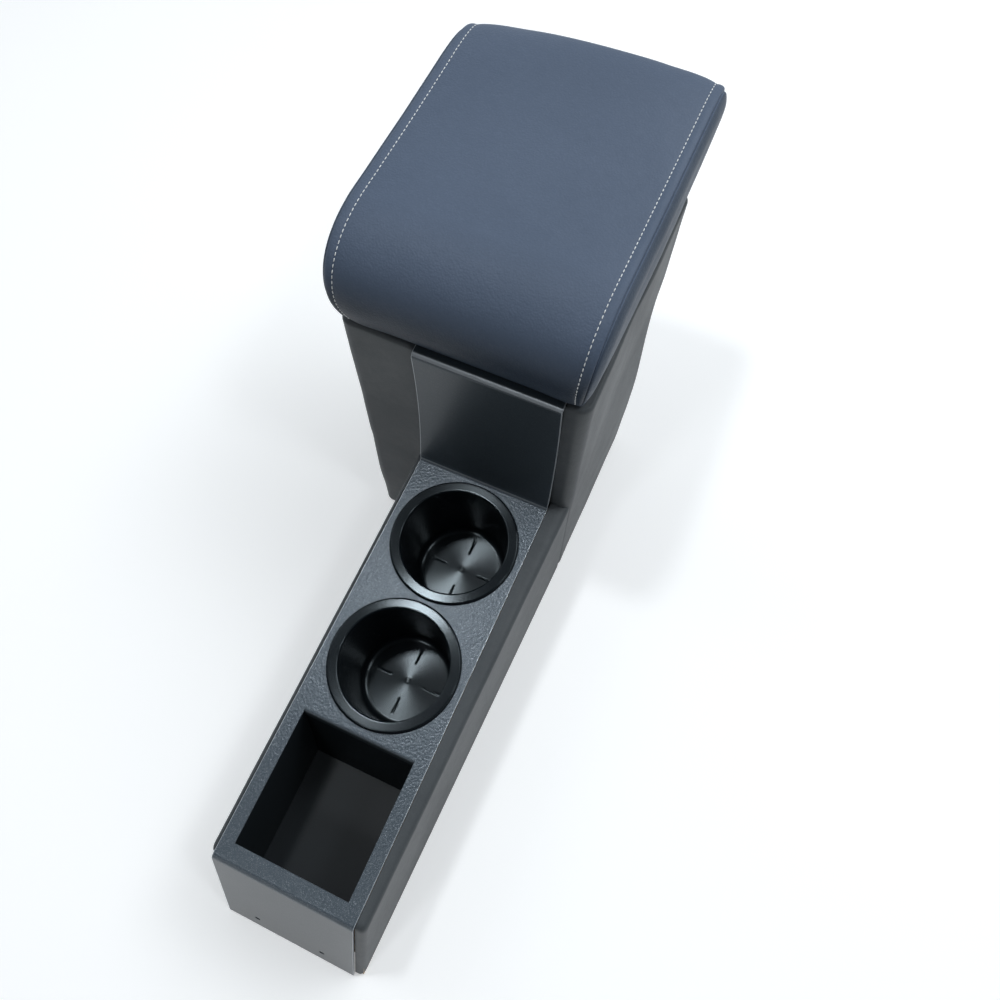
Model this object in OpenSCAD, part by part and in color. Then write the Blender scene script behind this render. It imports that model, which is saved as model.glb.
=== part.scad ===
// Car centre armrest: a narrow deck with a pocket and two cup holders in front
// of a padded storage box with a hinged lid. Millimetres, +Z up, +Y to the rear.
// The origin is on the floor, below the middle of the whole part.

/* [Deck plate] */
// Width of the folded deck plate
plate_w = 110; // [104:1:116]
// Height of the deck's top face above the floor
deck_h = 108; // [104:1:116]
// Sideways distance from the middle of the lid to the middle of the deck
deck_x = 21; // [14:1:24]
// Thickness of the deck sheet
sheet_t = 1.5; // [1:0.1:2]
// Outer radius of the bend at the front of the deck
bend_r = 6; // [4:0.5:8]
// Lean of the front flange from upright, its foot forward
flange_lean = 22.4; // [16:0.2:26]
// Gap between the flange's lower edge and the floor
flange_lift = 1; // [0.5:0.5:4]
// Diameter of the screw holes in the flange
flange_hole_d = 4.5; // [3:0.1:6]
// Distance between the two screw holes in the flange
flange_hole_span = 56; // [40:1:70]
// Distance up the flange from its lower edge to the screw holes
flange_hole_up = 17; // [10:1:24]
// Length of the return that the upstand folds over the box's front wall
return_l = 16; // [12:1:20]

/* [Pocket] */
// Distance from the front bend to the pocket opening
pocket_y = 14; // [12:1:20]
// Width of the pocket opening
pocket_w = 89; // [80:1:92]
// Length of the pocket opening
pocket_l = 98; // [80:1:110]
// Depth of the pocket below the deck
pocket_depth = 90; // [60:1:96]
// Lean of the pocket's front and rear walls, foot forward
pocket_lean = 14; // [6:1:16]
// Wall thickness of the pocket tray
tray_t = 1.5; // [1:0.1:2]
// Drop of the rolled lip at the pocket's rear edge
lip_drop = 7; // [5:0.5:10]

/* [Cup holders] */
// Outer diameter of a cup holder's rim
rim_d = 100; // [96:1:104]
// Height of the rim above the deck
rim_h = 2.5; // [1.5:0.1:3.5]
// Inner diameter of the mouth
cup_d = 82.5; // [78:0.5:84]
// Diameter of the flat floor
cup_floor_d = 68; // [64:1:70]
// Depth of the floor below the deck
cup_depth = 73; // [60:1:80]
// Wall thickness of a cup holder
cup_wall = 2; // [1.4:0.1:2.2]
// Distance from the pocket opening to the front rim
cup_space = 6; // [5:0.5:12]
// Gap between the two rims, and from the rear rim to the fold of the upstand
cup_gap = 2.5; // [1.5:0.5:6]

/* [Side panels] */
// Thickness of the boards beside the deck
side_board_t = 5; // [4:0.5:6]
// Thickness of their padded covers
side_cover_t = 2.4; // [1.6:0.2:3]
// Gap between the deck plate and the covers beside it
plate_gap = 0.5; // [0.3:0.1:1]
// Radius of the covers' outer edges
panel_round = 6.5; // [3:0.5:7]
// How much nearer to the plate the left panel stands than the right one
left_in = 6.6; // [0:0.2:6.6]
// How much further out the right panel's cover stands at the box than at the front
right_flare = 5.5; // [0:0.5:7]
// Width of the rail that carries the deck plate's right edge
rail_w = 9; // [6:0.5:9]
// Height of the rail
rail_h = 16; // [12:1:24]
// Thickness of the board behind the front flange
front_board_t = 8; // [6:0.5:9]

/* [Box] */
// Height of the box boards above the floor
box_h = 234; // [224:1:250]
// Thickness of the box boards
box_board_t = 9; // [6:0.5:10]
// Thickness of the padded covers on the box
box_cover_t = 3; // [2:0.2:4]
// Outer width of the box at the floor
box_foot_w = 172; // [162:1:176]
// Outer width of the box at the top
box_top_w = 186; // [178:1:188]
// Sideways place of the box's middle at the floor
box_foot_x = 5; // [2:0.5:8]
// Sideways place of the box's middle at the top
box_top_x = 0; // [0:0.5:3]
// Outer length of the box at the floor
box_foot_l = 145; // [135:1:155]
// Lean of the box's front wall, its foot forward
front_lean = 8.6; // [6:0.2:11]
// Lean of the box's rear wall, its foot forward
rear_lean = 19.7; // [16:0.1:21]
// Radius of the box's upright corners
corner_r = 9; // [7:0.5:12]
// Thickness of the lining in the storage bin
liner_t = 1.5; // [1:0.1:2.5]

/* [Lid] */
// Width of the padded lid
lid_w = 195; // [190:1:200]
// Height of the lid from its board to its highest edge line
lid_h = 69.5; // [60:0.5:80]
// Rise of the lid's middle above its edge line
lid_crown = 3; // [1:0.5:5]
// How far the lid hangs over behind the hinge pin
lid_overhang = 4.2; // [4:0.1:8]
// How far the middle of the lid's rear edge bows out past its ends
lid_bow = 7.5; // [0:0.5:10]
// How much further back the lid's rear edge reaches on the right than on the left
lid_skew = 9; // [0:0.5:10]
// How far the padded nose stands out in front of the lid's lower edge
nose_out = 4.5; // [2:0.5:8]
// How far the lid's sides draw in at its lower edge
lid_tuck = 9; // [4:0.5:10]
// Thickness of the lid's covers
lid_cover_t = 2; // [1.4:0.1:2.6]
// Width of each side cover, from the seam outwards
lid_side_w = 4.5; // [4:0.5:7]
// Thickness of the lid board
lid_board_t = 10; // [8:0.5:14]

/* [Hinge] */
// Length of the hinge
hinge_l = 150; // [120:1:160]
// Number of knuckles, an odd number
knuckles = 5; // [3:2:9]
// Outer diameter of the knuckles
knuckle_d = 5; // [4.6:0.1:5.4]
// Diameter of the hinge pin
pin_d = 2.5; // [2:0.1:2.8]
// Thickness of the hinge leaves
leaf_t = 1.2; // [1:0.1:1.3]
// Width of the hinge leaves
leaf_w = 14; // [13.5:0.5:16]
// Shank diameter of the countersunk screws
screw_d = 3; // [2.6:0.1:3.4]

/* [Hidden] */
$fn = 64;

// Clearances: pieces that rest on each other, screws in their holes, pin in its knuckles
seat = 0.3;
screw_fit = 0.15;
pin_fit = 0.05;
knuckle_gap = 0.3;
// Overshoot of a cut past the face that it opens
over = 5;
// Depth of a screw's hole, deeper than the longest screw
screw_hole = 15;

// Places along the deck, from the front bend to the rear
pocket_rear = pocket_y + pocket_l;
front_cup_y = pocket_rear + cup_space + rim_d / 2;
rear_cup_y = front_cup_y + rim_d + cup_gap;
deck_l = rear_cup_y + rim_d / 2 + cup_gap;
sheet_under = deck_h - sheet_t;

// Levels at the top of the box: board, cover, hinge and lid
box_cover_top = box_h + box_cover_t;
pin_z = box_h + knuckle_d / 2;
lid_z = box_h + knuckle_d;
return_top = box_cover_top;
lining_t = lid_z - box_cover_top - seat;

// The box's front face stands this far behind the fold at deck height
upstand_rest = sheet_t + seat;
fold_out = 4.7;
belly_out = -1.3;
top_out = 3.2;
// Heights of the hollow's control points above the deck and below the return
hollow_foot = 43;
hollow_head = 50;
box_wall = box_cover_t + seat + box_board_t;
bin_inset = box_wall + seat;
tuck_w = 4;
cover_lift = 1;
// Depth of the seams between the side covers and the rear cover, past the rounded corner
seam_in = corner_r + 1.5;

// Faces of the box at a height z, and of the flange and the pocket's walls
function box_front(z) = deck_l + upstand_rest + fold_out + (z - deck_h) * tan(front_lean);
function box_rear(z) = box_front(0) + box_foot_l + z * tan(rear_lean);
function box_mid_x(z) = box_foot_x + (box_top_x - box_foot_x) * z / box_h;
function box_width(z) = box_foot_w + (box_top_w - box_foot_w) * z / box_h;
function flange_y(z) = -(deck_h - z) * tan(flange_lean);
function pocket_shift(z) = -(deck_h - z) * tan(pocket_lean);

pin_y = box_rear(box_h) + 1;
lid_front = box_front(lid_z);
lid_rear = pin_y + lid_overhang;
plate_left = deck_x - plate_w / 2;
plate_right = deck_x + plate_w / 2;

// Points of the plane: unit direction, right-hand normal, arcs and Bezier curves
function unit(v) = v / norm(v);
function right_of(v) = [v[1], -v[0]];
function bezier_at(p, t) =
    p[0] * pow(1 - t, 3) + 3 * p[1] * t * pow(1 - t, 2) + 3 * p[2] * t * t * (1 - t) + p[3] * pow(t, 3);
function bezier(p, n) = [for (i = [0:n]) bezier_at(p, i / n)];
function turn(a) = a > 180 ? a - 360 : a < -180 ? a + 360 : a;

// Arc of radius r that rounds the corner b between a and c
function corner(a, b, c, r, n = 5) =
    let (u = unit(a - b), w = unit(c - b), half = acos(u * w) / 2)
    let (mid = b + unit(u + w) * r / sin(half), foot = r / tan(half))
    let (p = b + u * foot - mid, q = b + w * foot - mid)
    let (from = atan2(p[1], p[0]), sweep = turn(atan2(q[1], q[0]) - from))
    [for (i = [0:n]) mid + r * [cos(from + sweep * i / n), sin(from + sweep * i / n)]];

// Closed polygon with each corner rounded
function rounded(v, r, n = 5) =
    let (m = len(v))
    [for (i = [0:m - 1]) each corner(v[(i + m - 1) % m], v[i], v[(i + 1) % m], r, n)];

// Corner b moved inwards by d from both of its sides, in a clockwise outline
function inset_corner(a, b, c, d) =
    let (m = right_of(unit(b - a)), n = right_of(unit(c - b)))
    b + d * (m + n) / (1 + m * n);
function inset(v, d) =
    let (m = len(v))
    [for (i = [0:m - 1]) inset_corner(v[(i + m - 1) % m], v[i], v[(i + 1) % m], d)];

// Outline of a folded sheet of thickness t that follows a path on its right side
function sheet_side(p, t) =
    let (m = len(p) - 1)
    [for (i = [0:m])
        i == 0 ? p[0] + t * right_of(unit(p[1] - p[0]))
        : i == m ? p[m] + t * right_of(unit(p[m] - p[m - 1]))
        : inset_corner(p[i - 1], p[i], p[i + 1], t)];
function reversed(v) = [for (i = [len(v) - 1:-1:0]) v[i]];
function sheet_outline(path, t) = concat(path, reversed(sheet_side(path, t)));

// Outer face of the deck plate: flange, deck, upstand and return, front to rear
flange_foot = [flange_y(flange_lift), flange_lift];
fold = [deck_l, deck_h];
function before_box(z, out) = [box_front(z) - upstand_rest - out, z];
upstand_top = before_box(return_top, top_out);
upstand_curve = bezier([fold, before_box(deck_h + hollow_foot, belly_out),
    before_box(return_top - hollow_head, belly_out), upstand_top], 8);
return_end = [upstand_top[0] + return_l, return_top];
plate_path = concat(
    [flange_foot],
    corner(flange_foot, [0, deck_h], fold, bend_r, 7),
    corner([0, deck_h], fold, upstand_curve[1], 2, 4),
    [for (i = [1:7]) upstand_curve[i]],
    corner(upstand_curve[7], upstand_top, return_end, bend_r - 1, 7),
    [return_end]
);

// Outer face of the rolled lip at the pocket's rear edge, from its drop up to the deck
lip_foot = [pocket_rear - 2, deck_h - lip_drop];
lip_r = 3;
lip_end = [pocket_rear + lip_r + 2, deck_h];
lip_path = concat([lip_foot], corner(lip_foot, [pocket_rear, deck_h], lip_end, lip_r, 5), [lip_end]);

// Side view of the boards beside the deck, clockwise from the front foot
panel_setback = sheet_t / cos(flange_lean) + seat + side_cover_t;
panel_top = deck_h + 0.5 - side_cover_t;
// How far the uncut panels would reach into the box
panel_reach = 4 * box_board_t;
panel_corners = [
    [flange_y(0) + panel_setback, 0],
    [flange_y(panel_top) + panel_setback, panel_top],
    [box_front(panel_top) + panel_reach, panel_top],
    [box_front(0) + panel_reach, 0]
];
// Sideways places of the right panel, outwards from the middle of the deck. The left one is left_in nearer
wrap_x = plate_w / 2 + plate_gap;
board_in = wrap_x + 1.2;
board_out = board_in + side_board_t;
cover_in = board_out + seat;
cover_out = cover_in + side_cover_t;
function nearer(side) = side > 0 ? 0 : left_in;

// Widths of the pocket tray and its lip, which rests on the right rail and the left board
tray_half = pocket_w / 2 + 0.5 + tray_t;
rail_in = board_in - rail_w;
lip_rest = 2.5;
tray_lip = board_in - left_in + lip_rest - tray_half;

// Side view of the lid, clockwise from its lower front edge
lid_top = lid_z + lid_h;
nose_h = 27;
nose_l = 51;
crest_l = 39;
tail_l = 60;
lid_nose = bezier([[lid_front - nose_out, lid_z + nose_h], [lid_front - nose_out - 0.5, lid_top - 20.5],
    [lid_front + nose_l / 4, lid_top], [lid_front + nose_l, lid_top]], 9);
lid_tail = bezier([[lid_rear - 17, lid_top - 4.3], [lid_rear + 21, lid_top - 4.5],
    [lid_rear + 34, lid_top - 13], [lid_rear + 17, lid_top - 31]], 9);
lid_profile = concat(
    [[lid_front, lid_z], [lid_front - nose_out * 0.7, lid_z + nose_h / 2]],
    lid_nose,
    [bezier_at([lid_nose[9], lid_nose[9] + [crest_l, -2.5], [lid_rear - tail_l, lid_top - 4], lid_tail[0]], 0.5)],
    lid_tail,
    [[lid_rear, lid_z]]
);
lid_mid_y = (lid_front + lid_rear) / 2;
lid_half_l = (lid_rear - lid_front) / 2;

// Stations across half the lid: place from the middle, crown, and how much smaller the outline is
seam_x = lid_w / 2 - lid_side_w;
lid_stations = [
    [0, lid_crown, 0],
    [lid_w / 4, lid_crown * 0.75, 0],
    [seam_x - 8, 0, 0],
    [seam_x, -1.2, 1.2],
    [lid_w / 2 - 1.2, -6, 6],
    [lid_w / 2, -15, 15]
];
lid_section = concat(
    [for (s = reversed(lid_stations)) [-s[0], s[1], s[2]]],
    [for (i = [1:len(lid_stations) - 1]) lid_stations[i]]
);

// Whole part from the flange's foot to the lid's rear, for the origin in its middle
front_reach = flange_foot[0];
rear_reach = max([for (s = lid_section, p = lid_ring(s, 0, 0)) p[1]]);
mid_y = (front_reach + rear_reach) / 2;

// Puts a piece into the part's frame
module place() {
    translate([0, -mid_y, 0]) children();
}

// Extrudes a side view, drawn as rear and up, from x0 to x1
module along_x(x0, x1) {
    translate([x0, 0, 0]) rotate([90, 0, 90]) linear_extrude(x1 - x0) children();
}

// Triangles that close a ring of m points, from its first to its last one, with cross strips
function strips(m) = [for (i = [0:m / 2 - 2]) each [[i, i + 1, m - 1 - i], [i + 1, m - 2 - i, m - 1 - i]]];

// Closed skin over rings of points, each ring clockwise seen from the first one's outer side.
// The rings at the ends are flat, or else closed with strips
module loft(rings, stripped = false) {
    m = len(rings[0]);
    last = len(rings) - 1;
    ends = stripped ? strips(m) : [[for (i = [0:m - 1]) i]];
    polyhedron(
        points = [for (ring = rings) each ring],
        faces = concat(
            ends,
            [for (k = [0:last - 1], i = [0:m - 1]) each [
                [k * m + i, (k + 1) * m + i, (k + 1) * m + (i + 1) % m],
                [k * m + i, (k + 1) * m + (i + 1) % m, k * m + (i + 1) % m]
            ]],
            [for (e = ends) [for (i = reversed(e)) last * m + i]]
        ),
        convexity = 6
    );
}

// Outline of the box at height z, g inside its outer face
function box_ring(z, g) =
    let (x = box_mid_x(z), w = box_width(z) / 2 - g, y0 = box_front(z) + g, y1 = box_rear(z) - g)
    let (v = [[x - w, y0], [x + w, y0], [x + w, y1], [x - w, y1]])
    [for (p = rounded(v, max(corner_r - g, 0.5), 5)) [p[0], p[1], z]];

// Leaning box from z0 to z1, g inside the outer face, its top edge rounded by r
module box_form(g, z0, z1, r = 0) {
    steps = r > 0 ? [0:30:90] : [0];
    loft(concat(
        [box_ring(z0, g)],
        [for (a = steps) box_ring(z1 - r * (1 - sin(a)), g + r * (1 - cos(a)))]
    ));
}

// Wedges in side view that hold the box's front wall and its rear wall
module front_wedge(depth) {
    along_x(-lid_w, lid_w) polygon([
        [box_front(-over) - over, -over],
        [box_front(lid_z) - over, lid_z],
        [box_front(lid_z) + depth, lid_z],
        [box_front(-over) + depth, -over]
    ]);
}
module rear_wedge(depth) {
    along_x(-lid_w, lid_w) polygon([
        [box_rear(-over) - depth, -over],
        [box_rear(lid_z) - depth, lid_z],
        [box_rear(lid_z) + over, lid_z],
        [box_rear(-over) + over, -over]
    ]);
}
module right_half(x) {
    translate([x, -lid_w, -over]) cube([lid_w, 5 * lid_w, 2 * lid_w]);
}
module left_half(x) {
    translate([x - lid_w, -lid_w, -over]) cube([lid_w, 5 * lid_w, 2 * lid_w]);
}

// Folded sheet: flange with screw holes, deck with its openings, upstand, return and pocket lip
module deck_plate() color("dimgray") place() {
    difference() {
        along_x(plate_left, plate_right) polygon(sheet_outline(plate_path, sheet_t));
        translate([deck_x - pocket_w / 2, pocket_y, sheet_under - over])
            cube([pocket_w, pocket_l + lip_r, sheet_t + 2 * over]);
        for (y = [front_cup_y, rear_cup_y]) {
            translate([deck_x, y, sheet_under - over]) cylinder(r = cup_hole_r, h = sheet_t + 2 * over);
        }
        for (side = [-1, 1]) {
            flange_hole(side);
        }
        for (x = plate_screw_x) {
            countersink(x, plate_screw_y, return_top);
        }
    }
    along_x(deck_x - pocket_w / 2, deck_x + pocket_w / 2) polygon(sheet_outline(lip_path, sheet_t));
}

// Screw hole square to the flange, on the given side of the deck's middle
module flange_hole(side) {
    along = flange_hole_up * [sin(flange_lean), cos(flange_lean)];
    translate([deck_x + side * flange_hole_span / 2, flange_foot[0] + along[0], flange_foot[1] + along[1]])
        rotate([90 - flange_lean, 0, 0]) cylinder(d = flange_hole_d, h = 2 * over, center = true, $fn = 32);
}

// Hole and cone for a countersunk screw that goes down from z
module countersink(x, y, z) {
    translate([x, y, z - screw_hole]) cylinder(r = screw_d / 2 + screw_fit, h = screw_hole + 1, $fn = 24);
    translate([x, y, z - screw_d / 2]) cylinder(r1 = screw_d / 2 + screw_fit, r2 = screw_d + 0.1 + screw_fit,
        h = screw_d / 2 + 0.1, $fn = 24);
}

// Countersunk screw, its head's top at z, pointing down
module screw(x, y, z, length) {
    translate([x, y, z]) difference() {
        union() {
            translate([0, 0, -screw_d / 2]) cylinder(r1 = screw_d / 2, r2 = screw_d, h = screw_d / 2, $fn = 24);
            translate([0, 0, 3 - length]) cylinder(d = screw_d, h = length - 3 - screw_d / 2, $fn = 24);
            translate([0, 0, -length]) cylinder(r1 = 0.3, r2 = screw_d / 2, h = 3, $fn = 24);
        }
        for (a = [0, 90]) {
            rotate([0, 0, a]) cube([screw_d * 1.1, screw_d * 0.2, 1.2], center = true);
        }
    }
}

plate_screw_x = [for (i = [-1:1]) deck_x + i * plate_w * 0.4];
plate_screw_y = box_front(box_h) + box_cover_t + seat + box_board_t / 2;
plate_screw_l = 14;
leaf_screw_l = 13;
module plate_screws() color("gray") place() {
    for (x = plate_screw_x) {
        screw(x, plate_screw_y, return_top, plate_screw_l);
    }
}

// Cup holder: one moulding with a rim, a tapering wall, a rounded foot and four snap lugs
cup_hole_r = cup_d / 2 + cup_wall + 1.2;
floor_z = deck_h - cup_depth;
foot_r = 5;
wall_foot = [cup_floor_d / 2 + 2.5, floor_z];
mouth = [cup_d / 2, deck_h + rim_h];
cup_inside = concat(
    [[0, floor_z], [cup_floor_d / 2 - 2.4, floor_z], [cup_floor_d / 2 - 2, floor_z - 0.6],
        [cup_floor_d / 2 - 1.2, floor_z - 0.6], [cup_floor_d / 2 - 0.8, floor_z]],
    corner([0, floor_z], wall_foot, mouth, foot_r, 6),
    corner(wall_foot, mouth, [rim_d / 2, deck_h + rim_h], 1.2, 4)
);
cup_outside = concat(
    [[rim_d / 2 - 2.2, deck_h + rim_h], [rim_d / 2 - 0.5, deck_h + rim_h * 0.55], [rim_d / 2, deck_h + 0.6],
        [rim_d / 2, deck_h], [cup_d / 2 + cup_wall, deck_h]],
    corner(mouth + [cup_wall, 0], wall_foot + [cup_wall, -cup_wall], [0, floor_z - cup_wall], foot_r + cup_wall, 6),
    [[0, floor_z - cup_wall]]
);

module cup_holder(y) color([0.06, 0.06, 0.07]) place() translate([deck_x, y, 0]) {
    difference() {
        union() {
            rotate_extrude() polygon(concat(cup_inside, cup_outside));
            translate([0, 0, floor_z - 0.5]) cylinder(r = 2.6, h = 1.3, $fn = 32);
            for (a = [45:90:315]) {
                rotate([0, 0, a]) snap_lug();
            }
        }
        translate([0, 0, floor_z - 0.2]) cylinder(r = 1, h = 2, $fn = 24);
        for (a = [0:90:270]) {
            rotate([0, 0, a]) translate([cup_floor_d * 0.22, -0.5, floor_z - 0.5])
                cube([cup_floor_d * 0.2, 1, 1]);
        }
    }
}

// Lug that springs under the deck sheet, a wedge that is widest just below it
module snap_lug() {
    start = cup_d / 2 + cup_wall - 1;
    rotate([90, 0, 0]) translate([0, 0, -4]) linear_extrude(8) polygon([
        [start - 1, sheet_under - seat - 10],
        [start, sheet_under - seat - 10],
        [cup_hole_r + 0.6, sheet_under - seat - 1],
        [cup_hole_r + 0.6, sheet_under - seat],
        [start - 0.5, sheet_under - seat]
    ]);
}
module front_cup_holder() cup_holder(front_cup_y);
module rear_cup_holder() cup_holder(rear_cup_y);

// Leaning open tray below the pocket opening, hung by a lip under the deck sheet
function tray_corners(g, z0) = [
    [pocket_y - 0.5 - g + pocket_shift(z0), z0],
    [pocket_y - 0.5 - g + pocket_shift(sheet_under), sheet_under],
    [pocket_rear + 0.5 + g + pocket_shift(sheet_under), sheet_under],
    [pocket_rear + 0.5 + g + pocket_shift(z0), z0]
];
tray_floor = deck_h - pocket_depth;
lip_under = sheet_under - seat - tray_t;
module pocket_tray() color([0.09, 0.09, 0.1]) place() difference() {
    union() {
        along_x(deck_x - tray_half, deck_x + tray_half)
            polygon(clip_top(tray_corners(tray_t, tray_floor - tray_t), sheet_under - seat));
        translate([deck_x - tray_half - tray_lip, pocket_y - 0.5 - tray_t, lip_under])
            cube([2 * (tray_half + tray_lip), pocket_l + 1 + 2 * tray_t, tray_t]);
    }
    along_x(deck_x - tray_half + tray_t, deck_x + tray_half - tray_t) polygon(raised(tray_corners(0, tray_floor)));
    translate([deck_x - tray_half + tray_t, pocket_rear - lip_drop, deck_h - lip_drop - 2 * seat])
        cube([2 * (tray_half - tray_t), lip_drop + 3 * sheet_t, lip_drop]);
}
// The tray's outline with its upper corners moved along the lean to another height
function clip_top(v, z) = [
    v[0],
    v[1] + [(z - v[1][1]) * tan(pocket_lean), z - v[1][1]],
    v[2] + [(z - v[2][1]) * tan(pocket_lean), z - v[2][1]],
    v[3]
];
function raised(v) = clip_top(v, deck_h + over);

// Boards beside the deck, cut to the lean of the box's front wall
module side_board(side) place() difference() {
    along_x(deck_x + (side > 0 ? board_in : left_in - board_out), deck_x + (side > 0 ? board_out : left_in - board_in))
        polygon(concat(
            [panel_corners[0]],
            corner(panel_corners[0], panel_corners[1], panel_corners[2], bend_r - 1, 5),
            [panel_corners[2], panel_corners[3]]
        ));
    lip_rebate();
    box_form(-seat, -over, lid_z);
}
module right_side_board() color("burlywood") side_board(1);
module left_side_board() color("burlywood") side_board(-1);

// Rail glued to the right board, which carries the deck plate's edge
module right_rail() color("tan") place() difference() {
    translate([deck_x + rail_in, pocket_y + 3, sheet_under - seat - rail_h])
        cube([rail_w - seat, deck_l - pocket_y, rail_h]);
    lip_rebate();
    box_form(-seat, -over, lid_z);
}
module lip_rebate() translate([deck_x - tray_half - tray_lip - seat, pocket_y - over, lip_under - seat])
    cube([2 * (tray_half + tray_lip + seat), pocket_l + 2 * over, sheet_t + tray_t + over]);

// Cross board behind the flange, between the side boards
module front_board() color("tan") place() {
    top = sheet_under - 6;
    foot = 45;
    along_x(deck_x - board_in + left_in + seat, deck_x + board_in - seat) polygon([
        [flange_y(foot) + panel_setback, foot],
        [flange_y(top) + panel_setback, top],
        [flange_y(top) + panel_setback + front_board_t, top],
        [flange_y(foot) + panel_setback + front_board_t, foot]
    ]);
}

// Boards of the storage box: front and rear walls between them hold the two side walls
module box_boards(z1 = box_h) difference() {
    box_form(box_cover_t + seat, 0, z1);
    box_form(box_wall, -over, z1 + over);
}
module box_front_board() color("burlywood") place() difference() {
    intersection() {
        box_boards(return_top - sheet_t - seat);
        front_wedge(box_wall);
    }
    for (x = plate_screw_x) {
        countersink(x, plate_screw_y, return_top);
    }
    for (side = [-1, 1]) {
        translate([side > 0 ? plate_right - tuck_w - seat : plate_left + tuck_w + seat - lid_w, 0, box_h])
            cube([lid_w, 3 * lid_w, over]);
    }
}
module box_rear_board() color("burlywood") place() difference() {
    intersection() {
        box_boards();
        rear_wedge(box_wall);
    }
    for (x = hinge_screw_x) {
        countersink(x, fixed_screw_y, box_h + leaf_t);
    }
}
module box_side_board(side) place() difference() {
    intersection() {
        box_boards();
        if (side > 0) right_half(0); else left_half(0);
    }
    front_wedge(box_wall + seat);
    rear_wedge(box_wall + seat);
}
module box_left_board() color("burlywood") box_side_board(-1);
module box_right_board() color("burlywood") box_side_board(1);
module box_floor_board() color("burlywood") place() box_form(bin_inset, 0, box_board_t);

// Lining of the storage bin, one open shell
module bin_liner() color([0.14, 0.14, 0.15]) place() difference() {
    box_form(bin_inset, box_board_t + seat, box_h);
    box_form(bin_inset + liner_t, box_board_t + seat + liner_t, box_h + over);
}

// Padded cover of the box: a shell that folds over the boards' top edges
module box_skin() difference() {
    box_form(0, cover_lift, box_cover_top, box_cover_t);
    box_form(box_cover_t, -over, box_h + seat);
    box_form(box_wall, -over, lid_z);
    translate([plate_left - plate_gap, 0, return_top - sheet_t - seat])
        cube([plate_w + 2 * plate_gap, box_front(box_h) + box_wall + over, lid_z]);
    translate([-hinge_l / 2 - 1, pin_y - leaf_w - 1, box_h - seat]) cube([hinge_l + 2, 2 * leaf_w, lid_z]);
}

// Padded cover of a side panel, rounded on its outer edges, open towards the board
function panel_ring(side, x, d) =
    let (flare = side > 0 ? right_flare * (x - wrap_x) / (cover_out - wrap_x) / deck_l : 0)
    [for (p = rounded(inset(panel_corners, d - side_cover_t - seat), bend_r, 5))
        [deck_x + side * (x + flare * p[0]), p[0], p[1]]];
module panel_skin(side) {
    out = cover_out - nearer(side);
    r = min(panel_round, out - wrap_x - seat / 3);
    steps = [for (a = [0:30:90]) [out - r * (1 - sin(a)), r * (1 - cos(a))]];
    rings = concat([panel_ring(side, wrap_x, 0)], [for (s = steps) panel_ring(side, s[0], s[1])]);
    difference() {
        loft(side > 0 ? reversed(rings) : rings);
        along_x(deck_x + (side > 0 ? 0 : left_in - cover_in), deck_x + (side > 0 ? cover_in : 0))
            polygon(concat(
                [panel_corners[0] - [seat + over * tan(flange_lean), over]],
                corner(panel_corners[0], panel_corners[1], panel_corners[2], bend_r - 1, 5) +
                    [for (i = [0:5]) [-seat, seat]],
                [panel_corners[2] + [0, seat], panel_corners[3] - [0, over]]
            ));
        translate([-lid_w, -lid_w, -over]) cube([3 * lid_w, 5 * lid_w, over + cover_lift]);
    }
}
module left_side_cover() color([0.28, 0.3, 0.31]) place() difference() {
    panel_skin(-1);
    box_form(-seat, -over, lid_z);
}
module right_side_cover() color([0.28, 0.3, 0.31]) place() {
    difference() {
        panel_skin(1);
        box_form(1, -over, lid_z);
    }
    difference() {
        box_skin();
        left_half(plate_right - tuck_w);
        rear_wedge(seam_in);
    }
}
module box_left_cover() color([0.28, 0.3, 0.31]) place() difference() {
    box_skin();
    right_half(plate_left + tuck_w);
    rear_wedge(seam_in);
}
module box_rear_cover() color([0.28, 0.3, 0.31]) place() intersection() {
    box_skin();
    rear_wedge(seam_in - seat);
}

// Hinge: a fixed leaf on the rear wall's top edge and a moving leaf under the lid board
knuckle_l = hinge_l / knuckles;
hinge_screw_x = [for (i = [0:3]) (i - 1.5) * hinge_l * 0.28];
fixed_screw_y = box_rear(box_h) - box_cover_t - seat - box_board_t / 2;
module hinge_leaf(first, z) {
    own = [for (i = [first:2:knuckles - 1]) -hinge_l / 2 + i * knuckle_l];
    difference() {
        union() {
            translate([-hinge_l / 2, pin_y - leaf_w, z])
                cube([hinge_l, leaf_w - knuckle_d / 2 - knuckle_gap, leaf_t]);
            for (x = own) {
                along_x(x + knuckle_gap / 2, x + knuckle_l - knuckle_gap / 2) {
                    translate([pin_y, pin_z]) circle(d = knuckle_d);
                    translate([pin_y - leaf_w / 2, z]) square([leaf_w / 2, leaf_t]);
                }
            }
        }
        translate([-hinge_l, pin_y, pin_z]) rotate([0, 90, 0]) cylinder(d = pin_d + 2 * pin_fit, h = 2 * hinge_l);
        for (x = hinge_screw_x) {
            translate([x, fixed_screw_y, z - over]) cylinder(r = screw_d / 2 + screw_fit, h = 2 * over, $fn = 24);
        }
    }
}
module hinge_fixed_leaf() color("silver") place() difference() {
    hinge_leaf(0, box_h);
    for (x = hinge_screw_x) {
        countersink(x, fixed_screw_y, box_h + leaf_t);
    }
}
module hinge_moving_leaf() color("silver") place() difference() {
    hinge_leaf(1, lid_z - leaf_t);
    translate([0, 0, 2 * lid_z - leaf_t]) mirror([0, 0, 1]) for (x = hinge_screw_x) {
        countersink(x, fixed_screw_y, lid_z);
    }
}
module hinge_pin() color("gray") place() {
    translate([-hinge_l / 2, pin_y, pin_z]) rotate([0, 90, 0]) cylinder(d = pin_d, h = hinge_l);
}
module hinge_fixed_screws() color("gray") place() {
    for (x = hinge_screw_x) {
        screw(x, fixed_screw_y, box_h + leaf_t, leaf_screw_l);
    }
}
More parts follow.
